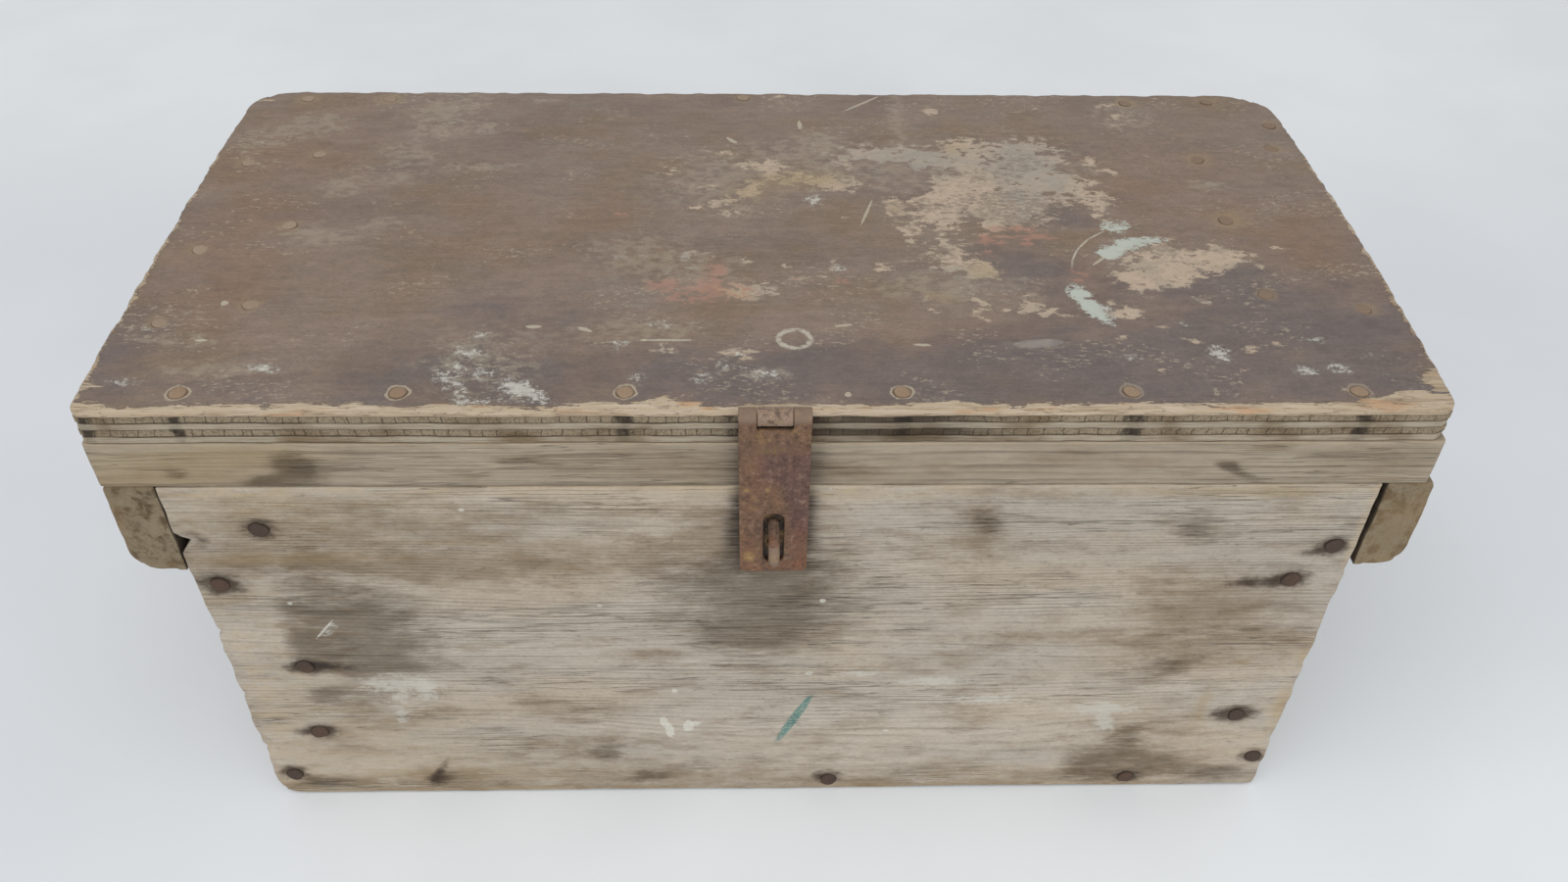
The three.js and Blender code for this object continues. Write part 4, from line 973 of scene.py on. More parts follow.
# Soft ovals on the top of the lid, in the same way, with the middle along X and Y. A strength
# below 0 takes away.
LID_MARKS = {
    "worn": (
        (45, 69, 13, 8, 0.75), (38, 60, 5, 5, 0.7), (82, 64, 20, 12, 0.8), (62, 72, 12, 7, 0.6),
        (104, 80, 12, 8, 0.65), (136, 79, 15, 9, 0.75), (132, 62, 15, 12, 0.75),
        (105, 60, 6, 8, 0.5), (115, 41, 18, 15, 1.0), (90, 33, 11, 11, 0.9), (83, 14, 14, 15, 0.9),
        (112, 14, 15, 16, 1.0), (131, 26, 13, 20, 0.9), (151, 43, 12, 13, 0.85),
        (166, 25, 8, 8, 0.9), (165, 10, 3, 6, 0.7), (151, 67, 4, 3, 0.7), (158, 64, 6, 1.6, 0.6),
        (171, 64, 4, 6, 0.75, 20), (179, 54, 2.5, 6, 0.6, 25), (61, 22, 3.5, 13, 0.6),
        (61, 14, 4, 7, 0.6), (66, -8, 3.5, 9, 0.7), (84, -27, 8, 11, 0.95), (98, -39, 9, 7, 0.9),
        (55, 53, 12, 7.5, -1.0), (72, 36, 9, 5.5, -1.0), (90, 52.5, 13, 1.6, -0.8),
        (110, 61, 8, 2.6, -0.5), (138, 31, 5, 4, -0.6), (150, 30, 9, 1.4, -0.5),
        (146, 14, 9, 5, -0.6), (98, 3, 3, 7, -0.6), (156, 56, 7, 5, -0.5), (149, 14, 2.6, 5, 0.6),
        (22, 45, 15, 7, 0.8), (33, 41, 8, 5, 0.6), (43, 47, 5, 3.5, 0.6), (48, 39.5, 12, 1.1, 0.6),
        (-6, 60, 12, 5, 0.7), (1, 52, 4, 8, 0.6), (-13, 37, 6, 6, 0.75),
        (-20, 26, 8, 4.5, 0.7, 38), (-30, 22, 4, 3, 0.55), (-34, 37, 4.5, 4, 0.7),
        (-39, 17, 6, 2, 0.7), (-22, 12, 8, 3.5, 0.5), (-54, 54, 5, 3, 0.6), (-60, 51, 3, 2, 0.5),
        (-39, 76, 5.5, 2.5, 0.65), (-25, 74, 5, 4, 0.55), (-69, 51, 2, 2, 0.5),
        (14, 85, 4, 3, 0.5), (34, 9, 2.5, 1.6, 0.6), (41, 33, 2, 3, 0.7),
        (187, -29, 15, 13, 1.0, 15), (171, -47, 9, 9, 0.95), (186, -44, 10, 6, 0.8),
        (205, -32, 13, 8, 0.85, 20), (217, -24, 6, 9, 0.75), (227, -27, 6, 3, 0.6),
        (206, -14, 5, 5, -0.7), (228, -11, 3, 2, 0.6), (232, -37, 3, 2.4, 0.6, 20),
        (199, -62, 5, 4, 0.5), (163, -73, 5, 4, 0.85, -20), (154, -71, 5, 5, 0.6),
        (94, -70, 3.5, 8, 0.75), (104, -71, 8, 2, 0.55), (116, -66, 4.5, 7, 0.75),
        (125, -73, 9, 3, 0.75, -10), (72, -67, 3, 6, 0.55, 10), (91, 120.5, 4.5, 4.5, 1.0),
        (55, -38, 6, 3.6, 0.55), (48, -36, 3, 2, 0.5), (29, -36, 3, 5, 0.55), (-8, -56, 8, 5, 0.8),
        (-20, -57, 7, 4.5, 0.7), (5, -49, 7, 2.4, 0.75, 5), (16, -46, 8, 1.2, 0.8, 8),
        (-43, -27, 5, 5, 0.55), (-66, -27, 3, 2.5, 0.5), (-76, -28, 4, 2, 0.5),
        (-45, -41, 8, 6, 0.35), (-15, -31, 3, 2, 0.5), (6, -37, 2, 5, 0.55, 10),
        (196, 112, 5, 10, 0.45), (190, 128, 6, 4, 0.5), (154, 125, 4, 4, 0.5),
        (246, -19, 4, 3, 0.5), (5, 137, 7, 4, 0.6), (-50, -100, 5, 3.6, 0.6),
        (-18, -103, 7, 4.2, 0.75), (153, -93, 4, 2, 0.6), (174, -85, 3.5, 1.8, 0.6),
        (202, -117, 3, 1.6, 0.6), (216, -87, 3.5, 2, 0.6), (186, -94, 4, 2.4, 0.55),
        (167, -117, 3, 2, 0.6), (210, -101, 4, 2, 0.6), (224, -96, 3, 2, 0.55),
        (244, -129, 3, 1.4, 0.6), (262, -104, 3, 2, 0.55),
    ),
    "smear": (
        (-250, 103, 14, 11, 0.7), (-185, 118, 14, 9, 0.7), (-168, 132, 9, 8, 0.6),
        (-157, 99, 6, 6, 0.7), (-195, 70, 14, 12, 0.6, -30), (-272, 86, 12, 12, 0.55),
        (-219, 36, 10, 8, 0.8), (-226, -10, 15, 6, 0.8, -10), (-195, 1, 10, 6, 0.6),
        (-193, 45, 7, 6, 0.6), (-150, 57, 22, 4, 0.55, 4), (-182, 98, 10, 9, 0.6),
        (-130, 132, 8, 3, 0.7), (-90, 112, 5, 4, 0.6), (-70, -24, 20, 12, 0.6),
        (70, 115, 4, 30, 0.6), (196, 120, 14, 16, 0.5), (228, 41, 9, 4, 0.7),
        (120, 60, 55, 34, 0.4), (85, -52, 34, 12, 0.55), (30, 60, 50, 20, 0.5),
        (-30, 40, 30, 26, 0.5, 35), (-40, -42, 24, 14, 0.6), (-240, -114, 20, 6, 0.6),
        (-262, -94, 16, 5, 0.5), (-60, -86, 24, 8, 0.5), (-128, -108, 26, 22, 0.45),
        (116, -97, 11, 2.6, 0.8, 4), (-6, -118, 10, 4, 0.6), (25, 86, 12, 8, 0.5, -30),
    ),
    "dark": (
        (27, -112, 12, 9, 0.9), (120, -28, 22, 14, 0.7), (215, -55, 50, 14, 0.8),
        (140, -50, 20, 16, 0.4), (250, -80, 30, 14, 0.7), (-120, -70, 30, 16, 0.5),
        (55, 54, 9, 5, 0.6), (-285, -100, 14, 24, 0.8), (150, 8, 14, 8, 0.6),
        (-60, -122, 180, 20, 0.72), (215, -108, 80, 28, 0.95), (100, -120, 70, 18, 0.75),
    ),
    "brown": (
        (-260, -20, 30, 60, 0.8), (200, 40, 50, 50, 0.6), (262, -20, 20, 40, 0.8),
        (148, -45, 10, 18, 0.9), (-120, 0, 60, 40, 0.45), (80, -90, 40, 12, 0.5),
        (-250, 90, 40, 60, 0.5),
    ),
    "ochre": (
        *((x, y, 4.6, 4.6, 0.8) for x, y in LID_NAILS), (-216, 133, 7, 5, 0.8),
        (-263, 133, 6, 6, 0.7), (205, 133, 6, 5, 0.8), (77, -62, 7, 3.0, 1.0, -28),
        (18, 45, 16, 7, 1.0), (229, 6, 8, 8, 0.8), (229, 67, 7, 7, 0.7),
        (-10, 34, 14, 10, 0.7, 30), (-20, -57, 9, 5, 0.6), (61, 14, 4, 8, 0.6),
        (99, -40, 8, 7, 0.7), (98, 78, 8, 6, 0.5),
    ),
    "salmon": (
        (106, -12, 4.5, 6, 0.8), (122, -3, 11, 4, 0.75), (128, -9, 9, 3, 0.8),
        (124, -16, 3, 2, 0.6), (117, -6, 14, 1.2, -0.6), (104, -26, 3, 4, 0.5),
        (-29, -38, 4, 7, 0.85), (-31, -55, 5, 8, 0.8), (-52, -51, 7, 4, 0.75),
        (-45, -60, 7, 5, 0.65), (-18, -57, 9, 5, 0.5), (8, -48, 10, 2, 0.5, 6),
        (-77, 11, 2.5, 4, 0.6), (144, -42, 4, 9, 0.4), (31, -48, 3, 3, 0.45),
    ),
    "aqua": (
        (170, 0, 7, 5, 0.8, 8), (171, -18, 10, 4.5, 0.95, 28), (184, -13, 9, 1.8, 0.9, 6),
        (162, -25, 4, 4, 0.95, 45), (142, -60, 4.5, 8, 0.95, 22), (147, -73, 4, 8, 0.9, 26),
        (145, -62, 3, 1.2, -0.9), (90, -54, 12, 9, 0.2), (231, 42, 5, 3, 0.3),
    ),
    "white": (
        (-112, -126, 6, 3.5, 0.7), (-105, -131, 9, 3.2, 0.9, -35), (-125, -136, 13, 3, 0.35),
        (-142, -121, 6, 4, 0.6, -45), (-135, -130, 3, 6, 0.5, 20),
        (-138, -113, 4.5, 1.6, 0.8, -38), (-126, -117, 5, 4, 0.5), (-135, -103, 6, 3.6, 0.8, -15),
        (-132, -91, 4, 2.6, 0.65), (-61, -121, 3, 3, 0.6), (-70, -96, 4, 1.6, 0.7),
        (-72, -101, 3, 1.2, 0.6), (-50, -99, 4, 2.4, 0.4), (-17, -103, 5, 3, 0.4),
        (-23, -112, 3, 3, 0.55), (-15, -113, 4, 1, 0.5), (-5, -118, 8, 3, 0.45),
        (-33, -120, 5, 4, 0.4), (-52, -82, 5, 3, 0.45), (20, 24, 3.8, 4, 0.85),
        (195, -104, 4, 4.5, 0.85), (229, -116, 3.6, 2.6, 0.9), (244, -114, 5, 3.2, 0.55, -20),
        (-221, -114, 6, 2.4, 0.75, -10), (-275, -123, 6, 2, 0.6), (-274, -85, 6, 2.5, 0.5),
        (156, -107, 4, 2, 0.6), (152, -72, 3, 4, 0.7), (164, -73, 3, 3, 0.4),
        (30, -37, 3, 4, 0.45), (240, -94, 5, 2, 0.5), (184, -82, 2.4, 1.2, 0.6),
    ),
    "greyed": (
        (60, 68, 28, 10, 1.0), (84, 62, 16, 12, 0.8), (135, 72, 18, 16, 0.8),
        (132, 52, 14, 12, 0.8), (128, 22, 9, 16, 0.8), (148, 40, 9, 10, 0.6),
        (85, -46, 26, 9, 0.6), (-70, -26, 18, 10, 0.9), (-6, -56, 6, 5, 0.8),
        (195, -60, 30, 6, 0.5), (-45, -38, 8, 12, 0.8),
    ),
}


# Boards


def cad_places(prefix, count, axis, side):
    """Middle of the head of each CAD nail of a row, on the side it faces."""
    places = []
    for index in range(count):
        low, high = box_of(f"{prefix}_{index + 1}")
        place = (low + high) / 2
        place[axis] = (high if side > 0 else low)[axis]
        places.append(place)
    return np.array(places)


def sink_nails(board, places):
    """Cuts a flat-bottomed dimple round each nail, and gives the iron stain round it: a bell
    curve that is a half at the stain's radius."""
    gap = nearest(board.flat, places)
    board.sink(NAIL_SINK * np.exp(-((gap / NAIL_DIMPLE) ** 4)))
    return 0.5 ** ((gap / NAIL_STAIN) ** 2)


def front_fields(board, table):
    """Fields of a board seen from the front: its marks where the skin faces the front, and its
    rubbed arrises."""
    seen = unit(-board.outward[:, 1])
    fields = {field: seen * marks(board.flat, (0, 2), ovals) for field, ovals in table.items()}
    return {**fields, "rubbed": board.edge}


class CHEST_OT_front_board(bpy.types.Operator):
    """The wide front board, with its worn corners, chip, broken ends and stains"""

    bl_idname = "chest.front_board"
    bl_label = "Front board"

    def execute(self, context):
        sizes, colours = context.scene.chest_sizes, context.scene.chest_colours
        low, high = box_of("front_board")
        foot = box_of("left_handle_cleat")[0][2]  # underside of the handles
        board = Board(
            low, high, sizes.board_step, sizes.arris, seed=11,
            tight=lambda at: (at[:, 2] > foot) & (np.abs(at[:, 0]) > 250.0),
        )
        board.weather(sizes.relief, grain=0)
        sink_nails(board, cad_places("front_nail", 11, axis=1, side=-1))
        flat = board.flat
        held = np.where(flat[:, 0] < 0.0, 0.3, 0.9)  # beside the handles, which guard the ends
        share = np.where(flat[:, 2] < foot - 3.0, 1.0, held)
        board.break_ends(0, sizes.ragged, 16.0, (40, 60, 9), share)

        points = board.points
        for z, depth, above, below, reach in (  # the chip at the left end and three small ones
            (199.0, 6.5, 3.5, 9.0, 22.0), (136.0, 2.2, 2.6, 2.6, 10.0),
            (44.0, 2.2, 2.4, 2.4, 10.0), (88.0, 1.0, 3.0, 3.0, 10.0),
        ):
            width = np.where(points[:, 2] > z, above, below)
            bite = unit(1 - np.abs(points[:, 2] - z) / width)
            points[:, 0] += depth * bite * unit(1 - (flat[:, 0] - low[0]) / reach)
        for x, inward, radius in ((low[0], (1, 1), 12.0), (high[0], (-1, 1), 4.5)):
            points = round_corner(points, (0, 2), (x, low[2]), inward, radius)
        near_foot = unit(1 - (flat[:, 2] - low[2]) / 14.0)
        points[:, 2] += 1.6 * cloud(flat, (55, 500, 500), 12) * near_foot

        fields = front_fields(board, FRONT_MARKS)
        left_rim = unit((flat[:, 0] + 242.0) / 11.0)  # where the big stain ends
        fields["stain"] *= np.where(flat[:, 2] > 98.0, left_rim, 1.0)
        fields["rubbed"] = np.maximum(board.edge, marks(flat, (0, 2), FRONT_RUBBED))
        pine_front = weathered_pine(colours, "weathered_sawn_pine", True)
        make_piece(
            "front_board_worn", points, board.faces, [pine_front], "carcase", "weathered_pine",
            fields, stands_for=["front_board"],
        )
        return {"FINISHED"}


def aged(board, seed, iron=0.0):
    """Fields for a board that the photograph doesn't show: stains in soft clouds on the face
    that is turned out, with the thinner side taken as the board's thickness."""
    middle, size = (board.low + board.high) / 2, board.high - board.low
    axis = int(size[1] < size[0])
    out = unit(board.outward[:, axis] * np.sign(middle[axis]) + 0.15)
    return {
        "stain": out * unit(1.3 * (cloud(board.flat, (70, 70, 40), seed + 7) - 0.52)),
        "smudge": out * unit(1.3 * (cloud(board.flat, (90, 90, 22), seed + 8) - 0.36)),
        "yellow": unit(1.4 * (cloud(board.flat, (120, 120, 18), seed + 9) - 0.35)),
        "iron": np.zeros(len(board.points)) + iron,
        "chalk": out * unit(1.8 * (cloud(board.flat, (30, 30, 14), seed + 10) - 0.62)),
        "rubbed": board.edge,
    }


def plain_board(node, context, finish, slot, grain, seed, body="carcase", step=None, nails=None):
    """A board that keeps its CAD place, worn along its arrises, with iron stains at its nails."""
    sizes = context.scene.chest_sizes
    low, high = box_of(node)
    board = Board(low, high, step or sizes.plain_step, sizes.arris, seed)
    board.weather(sizes.relief, grain)
    iron = 0.0 if nails is None else sink_nails(board, nails)
    fields = aged(board, seed, iron)
    make_piece(
        f"{node}_worn", board.points, board.faces, [finish], body, slot, fields, stands_for=[node]
    )


def back_nails():
    """Places of the nails in the back board: two uneven rows at each end and three below."""
    low, high = box_of("back_board")
    rows = [(12, 24), (34, 58), (11, 96), (33, 134), (12, 172), (34, 206)]
    left = [(low[0] + x, high[1], z) for x, z in rows]
    right = [(high[0] - x, high[1], z + 4) for x, z in rows]
    below = [(x, high[1], 9.0) for x in (-130.0, 8.0, 142.0)]
    return np.array(left + right + below)


def outer_side(node, side):
    """Where the outer face of an end board or a handle stands along X."""
    return box_of(node)[0 if side < 0 else 1][0]


def end_nails(side):
    """Places of the nails in an end board, into the edges of the bottom."""
    x = outer_side("left_end_board" if side < 0 else "right_end_board", side)
    return np.array([(x, y, 9.0) for y in (-88.0, -8.0, 82.0)])


def handle_nails(side):
    """Places of the nails through a handle: a pair near each end and one between."""
    x = outer_side("left_handle_cleat" if side < 0 else "right_handle_cleat", side)
    rows = ((-112, 214), (-104, 196), (2, 206), (106, 213), (113, 196))
    return np.array([(x, y, z) for y, z in rows])


class CHEST_OT_plain_boards(bpy.types.Operator):
    """Back, ends, bottom boards and corner posts"""

    bl_idname = "chest.plain_boards"
    bl_label = "Back, ends, bottom and posts"

    def execute(self, context):
        colours = context.scene.chest_colours
        outside = weathered_pine(colours, "weathered_sawn_pine_back", False)
        across = rim_pine(colours, ALONG_Y, "weathered_sawn_pine_ends")
        slot = "weathered_pine"
        plain_board("back_board", context, outside, slot, 0, 21, nails=back_nails())
        plain_board("left_end_board", context, across, slot, 1, 22, nails=end_nails(-1))
        plain_board("right_end_board", context, across, slot, 1, 23, nails=end_nails(1))
        bottom = inside_pine(colours, ALONG_X, "bare_pine_bottom", pith=(40.0, -60.0))
        for index, place in enumerate(("front", "middle", "back")):
            plain_board(f"bottom_board_{place}", context, bottom, "inside_pine", 0, 24 + index)
        post = inside_pine(colours, ALONG_Z, "bare_pine_posts", pith=(90.0, 190.0))
        corners = itertools.product(("front", "back"), ("left", "right"))
        for index, (depth, side) in enumerate(corners):
            node = f"corner_post_{depth}_{side}"
            plain_board(node, context, post, "inside_pine", 2, 30 + index)
        return {"FINISHED"}


class CHEST_OT_handles(bpy.types.Operator):
    """The two battens along the ends that serve as handles"""

    bl_idname = "chest.handles"
    bl_label = "Handles"

    def execute(self, context):
        sizes, colours = context.scene.chest_sizes, context.scene.chest_colours
        finish = handle_pine(colours)
        for name, side in (("left", -1), ("right", 1)):
            low, high = box_of(f"{name}_handle_cleat")
            inner, outer = (high[0], low[0]) if side < 0 else (low[0], high[0])
            board = Board(
                low, high, 1.7, 1.6 * sizes.arris, seed=41 + side,
                tight=lambda at, inner=inner: np.abs(at[:, 0] - inner) < 5.0,
            )
            board.weather(0.7, grain=1)
            nail_stain = sink_nails(board, handle_nails(side))
            board.break_ends(1, 1.2, 8.0, (9, 40, 9))
            flat, points = board.flat, board.points
            for z, upward, radius in ((low[2], 1, 13.0), (high[2], -1, 4.0)):
                points = round_corner(points, (0, 2), (outer, z), (-side, upward), radius)
            belly = cloud(flat, (200, 120, 22), 43 + side) - (side < 0)
            points[:, 0] -= side * 1.2 * belly * unit(board.outward[:, 0] * side)
            rub = marks(flat, (0, 2), (
                (outer, 212, 5, 14, 0.9), (outer - side * 8, 180, 12, 4, 0.6),
                (282, 205, 9, 26, 0.7),
            ))
            joint = 0.5 ** (((flat[:, 0] - inner) / 0.4) ** 2)
            fields = {"rubbed": np.maximum(board.edge, rub), "iron": np.maximum(joint, nail_stain)}
            make_piece(
                f"{name}_handle_worn", points, board.faces, [finish], "carcase", "handle_wood",
                fields, stands_for=[f"{name}_handle_cleat"],
            )
        return {"FINISHED"}


# Lid


def all_lid_nails():
    """Middles of the nail heads on the lid: the CAD's front row and the rest of the real ones."""
    front = cad_places("lid_nail", 6, axis=2, side=1)
    top = front[:, 2].max()
    rest = np.array([(x, y, top) for x, y in LID_NAILS])
    return front, rest


class CHEST_OT_lid_panel(bpy.types.Operator):
    """The plywood panel: worn painted top, torn front edge and weathered plies"""

    bl_idname = "chest.lid_panel"
    bl_label = "Lid panel"

    def execute(self, context):
        sizes, colours = context.scene.chest_sizes, context.scene.chest_colours
        low, high = box_of("lid_panel")
        ply = (high[2] - low[2]) / sizes.plies
        torn_strip, back_arris = 14.0, 3.0  # where the lines stand closer, at the front and back
        near = np.linspace(low[1], low[1] + torn_strip, 14)
        far = np.linspace(low[1] + torn_strip, high[1] - back_arris, 122)
        depth_lines = np.concatenate([near[:-1], far, [high[1] - 1.9, high[1] - 0.9, high[1]]])
        width_lines = stations(low[0], high[0], 2.5, 3.0)
        height_lines = np.linspace(low[2], high[2], 6 * sizes.plies + 1)
        flat, faces, _ = box_skin([width_lines, depth_lines, height_lines])
        points, outward, _ = ease_arrises(flat, low, high, 0.7)

        sideways = np.hypot(outward[:, 0], outward[:, 1])
        number = np.clip((flat[:, 2] - low[2]) / ply, 0, sizes.plies - 1e-6)
        endwise = np.abs(outward[:, 0]) > 0.7
        crossed = (number.astype(int) % 2 == 1) != endwise
        within = np.abs(number % 1 - 0.5)
        recess = np.where(crossed, sizes.ply_recess * (1 + cloud(flat, (5, 5, 3), 51)), 0.25)
        recess = np.where(within > 0.4, sizes.ply_recess * 1.3, recess)  # glue lines
        points[:, :2] -= outward[:, :2] * (recess * sideways)[:, None]

        wave = cloud(flat, (34, 34, 400), 52, octaves=3)
        calm = unit(0.2 + (flat[:, 1] - low[1]) / 50.0)
        for axis, side, depth, chips in (
            (0, -1, 0.5, 1.7), (0, 1, 0.4, 1.2), (1, 1, 1.2, 1.7), (1, -1, 0.6, 0.5),
        ):
            distance = np.abs(flat[:, axis] - (high if side > 0 else low)[axis])
            near = unit(1 - distance / 18.0) ** 2 * (calm if axis == 0 else 1.0)
            bite = cloud(flat, (900, 7, 9) if axis == 0 else (7, 900, 9), 53 + side, octaves=3)
            cut = depth * unit(2.4 * wave - 0.7) + chips * unit(2.6 * bite - 1.0)
            points[:, axis] -= side * near * cut
        bow = np.sin(math.pi * (flat[:, 1] - low[1]) / (high[1] - low[1])) ** 0.8
        swell = np.where(flat[:, 0] > 0, 4.0, -2.6) * np.abs(flat[:, 0] / high[0]) ** 8
        points[:, 0] += bow * swell

        line = low[1] + sizes.torn_width * (0.35 + 1.1 * cloud(flat, (26, 900, 900), 54, octaves=3))
        line += 9.0 * marks(flat, (0, 1), (
            (-48, low[1], 9, 60, 0.45), (272, low[1], 16, 60, 1.0), (-286, low[1], 6, 60, 0.3),
            (118, low[1], 10, 60, 0.2), (-160, low[1], 12, 60, 0.1),
        ))
        into = unit((line - flat[:, 1]) / np.maximum(line - low[1], 0.5))
        top = unit((flat[:, 2] - (high[2] - ply)) / ply)
        chew = 0.6 + 0.8 * cloud(flat, (26, 2.6, 30), 55, octaves=3)
        points[:, 2] -= top * sizes.torn_depth * into**1.4 * chew * (flat[:, 1] < line)
        for x, y, inward, radius in (
            (low[0], high[1], (1, -1), 22.0), (high[0], high[1], (-1, -1), 27.0),
            (low[0], low[1], (1, 1), 4.5), (high[0], low[1], (-1, 1), 6.5),
        ):
            points = round_corner(points, (0, 1), (x, y), inward, radius)
        on_top = outward[:, 2] > 0.7
        gap = nearest(flat, np.concatenate(all_lid_nails()))
        points[:, 2] -= on_top * 0.5 * np.exp(-((gap / 5.5) ** 4))
        points[:, 2] -= on_top * 0.35 * cloud(flat, (70, 12, 40), 56, octaves=3)

        torn = 0.5 + (line - flat[:, 1]) / 6.0
        torn = np.maximum(torn, marks(flat, (0, 1), (
            (high[0], -124, 9, 11, 1.0), (high[0] + 1, -64, 5, 9, 0.9),
            (low[0], -20, 3, 8, 0.9), (low[0], -50, 3, 6, 0.9), (low[0], -63, 3, 5, 0.9),
            (low[0] + 2, -126, 8, 4, 0.7), (low[0] + 4, 134, 6, 5, 0.7, 40),
        )))  # where the veneer is gone beside the strip in front
        sides = np.minimum(flat[:, 0] - low[0], high[0] - flat[:, 0])
        raw = unit(1.2 - sides / 3.4) * cloud(flat, (40, 13, 400), 57, octaves=3) * 1.4
        torn = unit(np.maximum(torn, raw * (flat[:, 1] < 70.0)))
        edge_torn = unit((flat[:, 2] - (high[2] - ply)) / 1.2 + 0.1)
        torn = np.where(on_top, torn, edge_torn * 0.75)

        fields = {field: marks(flat, (0, 1), ovals) for field, ovals in LID_MARKS.items()}
        fields["torn"] = torn
        fields["endwise"] = endwise.astype(float)
        fields["nail_gap"] = np.where(on_top, gap, 60.0)
        fields["raw"] = marks(
            flat, (0, 1), ((high[0], -75, 12, 35, 1.0), (low[0], -60, 10, 60, 0.4))
        )
        front_row = np.exp(-(((flat[:, 1] + 130.0) / 12.0) ** 2))
        fields["halo"] = front_row * np.where(flat[:, 0] > 100.0, 0.45, 1.0)
        ring_behind = unit((flat[:, 1] + 40.0) / 12.0) * (flat[:, 0] < 164.0)
        fields["line_here"] = np.where(flat[:, 0] < 40.0, 1.0, ring_behind)
        in_front = outward[:, 1] < -0.5
        fields["damp"] = np.where(in_front, 0.5 ** (((flat[:, 0] - 34.0) / 52.0) ** 4), 0.0)
        # A darker band on the front edge beside the hasp: painted shadow beside the strap, with
        # iron stain
        iron = 0.6 * 0.5 ** (((flat[:, 0] + 2.0) / 19.0) ** 6)  # behind the hasp
        for x, width in LID_IRON:
            iron += 0.5 ** (((flat[:, 0] - x) / width) ** 2)
        fields["iron"] = unit(iron) * in_front

        heights = [flat[:, 2][group] for group in faces]
        above = np.concatenate([group.min(axis=1) > high[2] - 0.01 for group in heights])
        below = np.concatenate([group.max(axis=1) < low[2] + 0.01 for group in heights])
        zones = np.where(above, 0, np.where(below, 2, 1))
        finishes = [
            worn_paint(colours),
            ply_edge(colours, low[2], ply),
            inside_pine(colours, ALONG_X, "bare_plywood", pith=(30.0, 320.0)),
        ]
        make_piece(
            "lid_panel_worn", points, faces, finishes, "lid", "painted_plywood", fields, zones,
            stands_for=["lid_panel"],
        )
        return {"FINISHED"}


class CHEST_OT_lid_rim(bpy.types.Operator):
    """The four rails under the lid panel and the two battens inside"""

    bl_idname = "chest.lid_rim"
    bl_label = "Lid rim and battens"

    def execute(self, context):
        sizes, colours = context.scene.chest_sizes, context.scene.chest_colours
        long_rail = rim_pine(colours, ALONG_X, "rim_pine")
        short_rail = rim_pine(colours, ALONG_Y, "rim_pine_ends")
        for name, side in (("front", -1), ("back", 1)):
            low, high = box_of(f"{name}_rail")
            board = Board(low, high, 2.0, 0.8 * sizes.arris, seed=61 + side)
            board.weather(0.35, grain=0)
            board.break_ends(0, 0.5, 9.0, (30, 30, 7))
            points = board.points
            outer, radius = (low[1], 3.0) if side < 0 else (high[1], 19.0)
            for x, way, longer in ((low[0], -1, 0.9), (high[0], 1, 1.4 if side < 0 else 0.0)):
                near = unit(1 - np.abs(board.flat[:, 0] - x) / 40.0) ** 2
                points[:, 0] += way * longer * near
                corner = (x + way * longer, outer)
                points = round_corner(points, (0, 1), corner, (-way, -side), radius)
            fields = aged(board, 63) if side > 0 else front_fields(board, RAIL_MARKS)
            make_piece(
                f"{name}_rail_worn", points, board.faces, [long_rail], "lid", "rim_pine", fields,
                stands_for=[f"{name}_rail"],
            )
        batten = inside_pine(colours, ALONG_Y, "bare_pine_battens", pith=(-20.0, 190.0))
        for part, finish, slot, seed in (
            ("rail", short_rail, "rim_pine", 65), ("lid_batten", batten, "inside_pine", 67),
        ):
            for index, name in enumerate(("left", "right")):
                plain_board(f"{name}_{part}", context, finish, slot, 1, seed + index, "lid", 3.0)
        return {"FINISHED"}


# Nails


def frames(normals):
    """Two directions square to each of some directions."""
    helper = np.where(np.abs(normals[:, 2:3]) > 0.9, (1.0, 0.0, 0.0), (0.0, 0.0, 1.0))
    first = np.cross(helper, normals)
    first /= np.linalg.norm(first, axis=1, keepdims=True)
    return first, np.cross(normals, first)


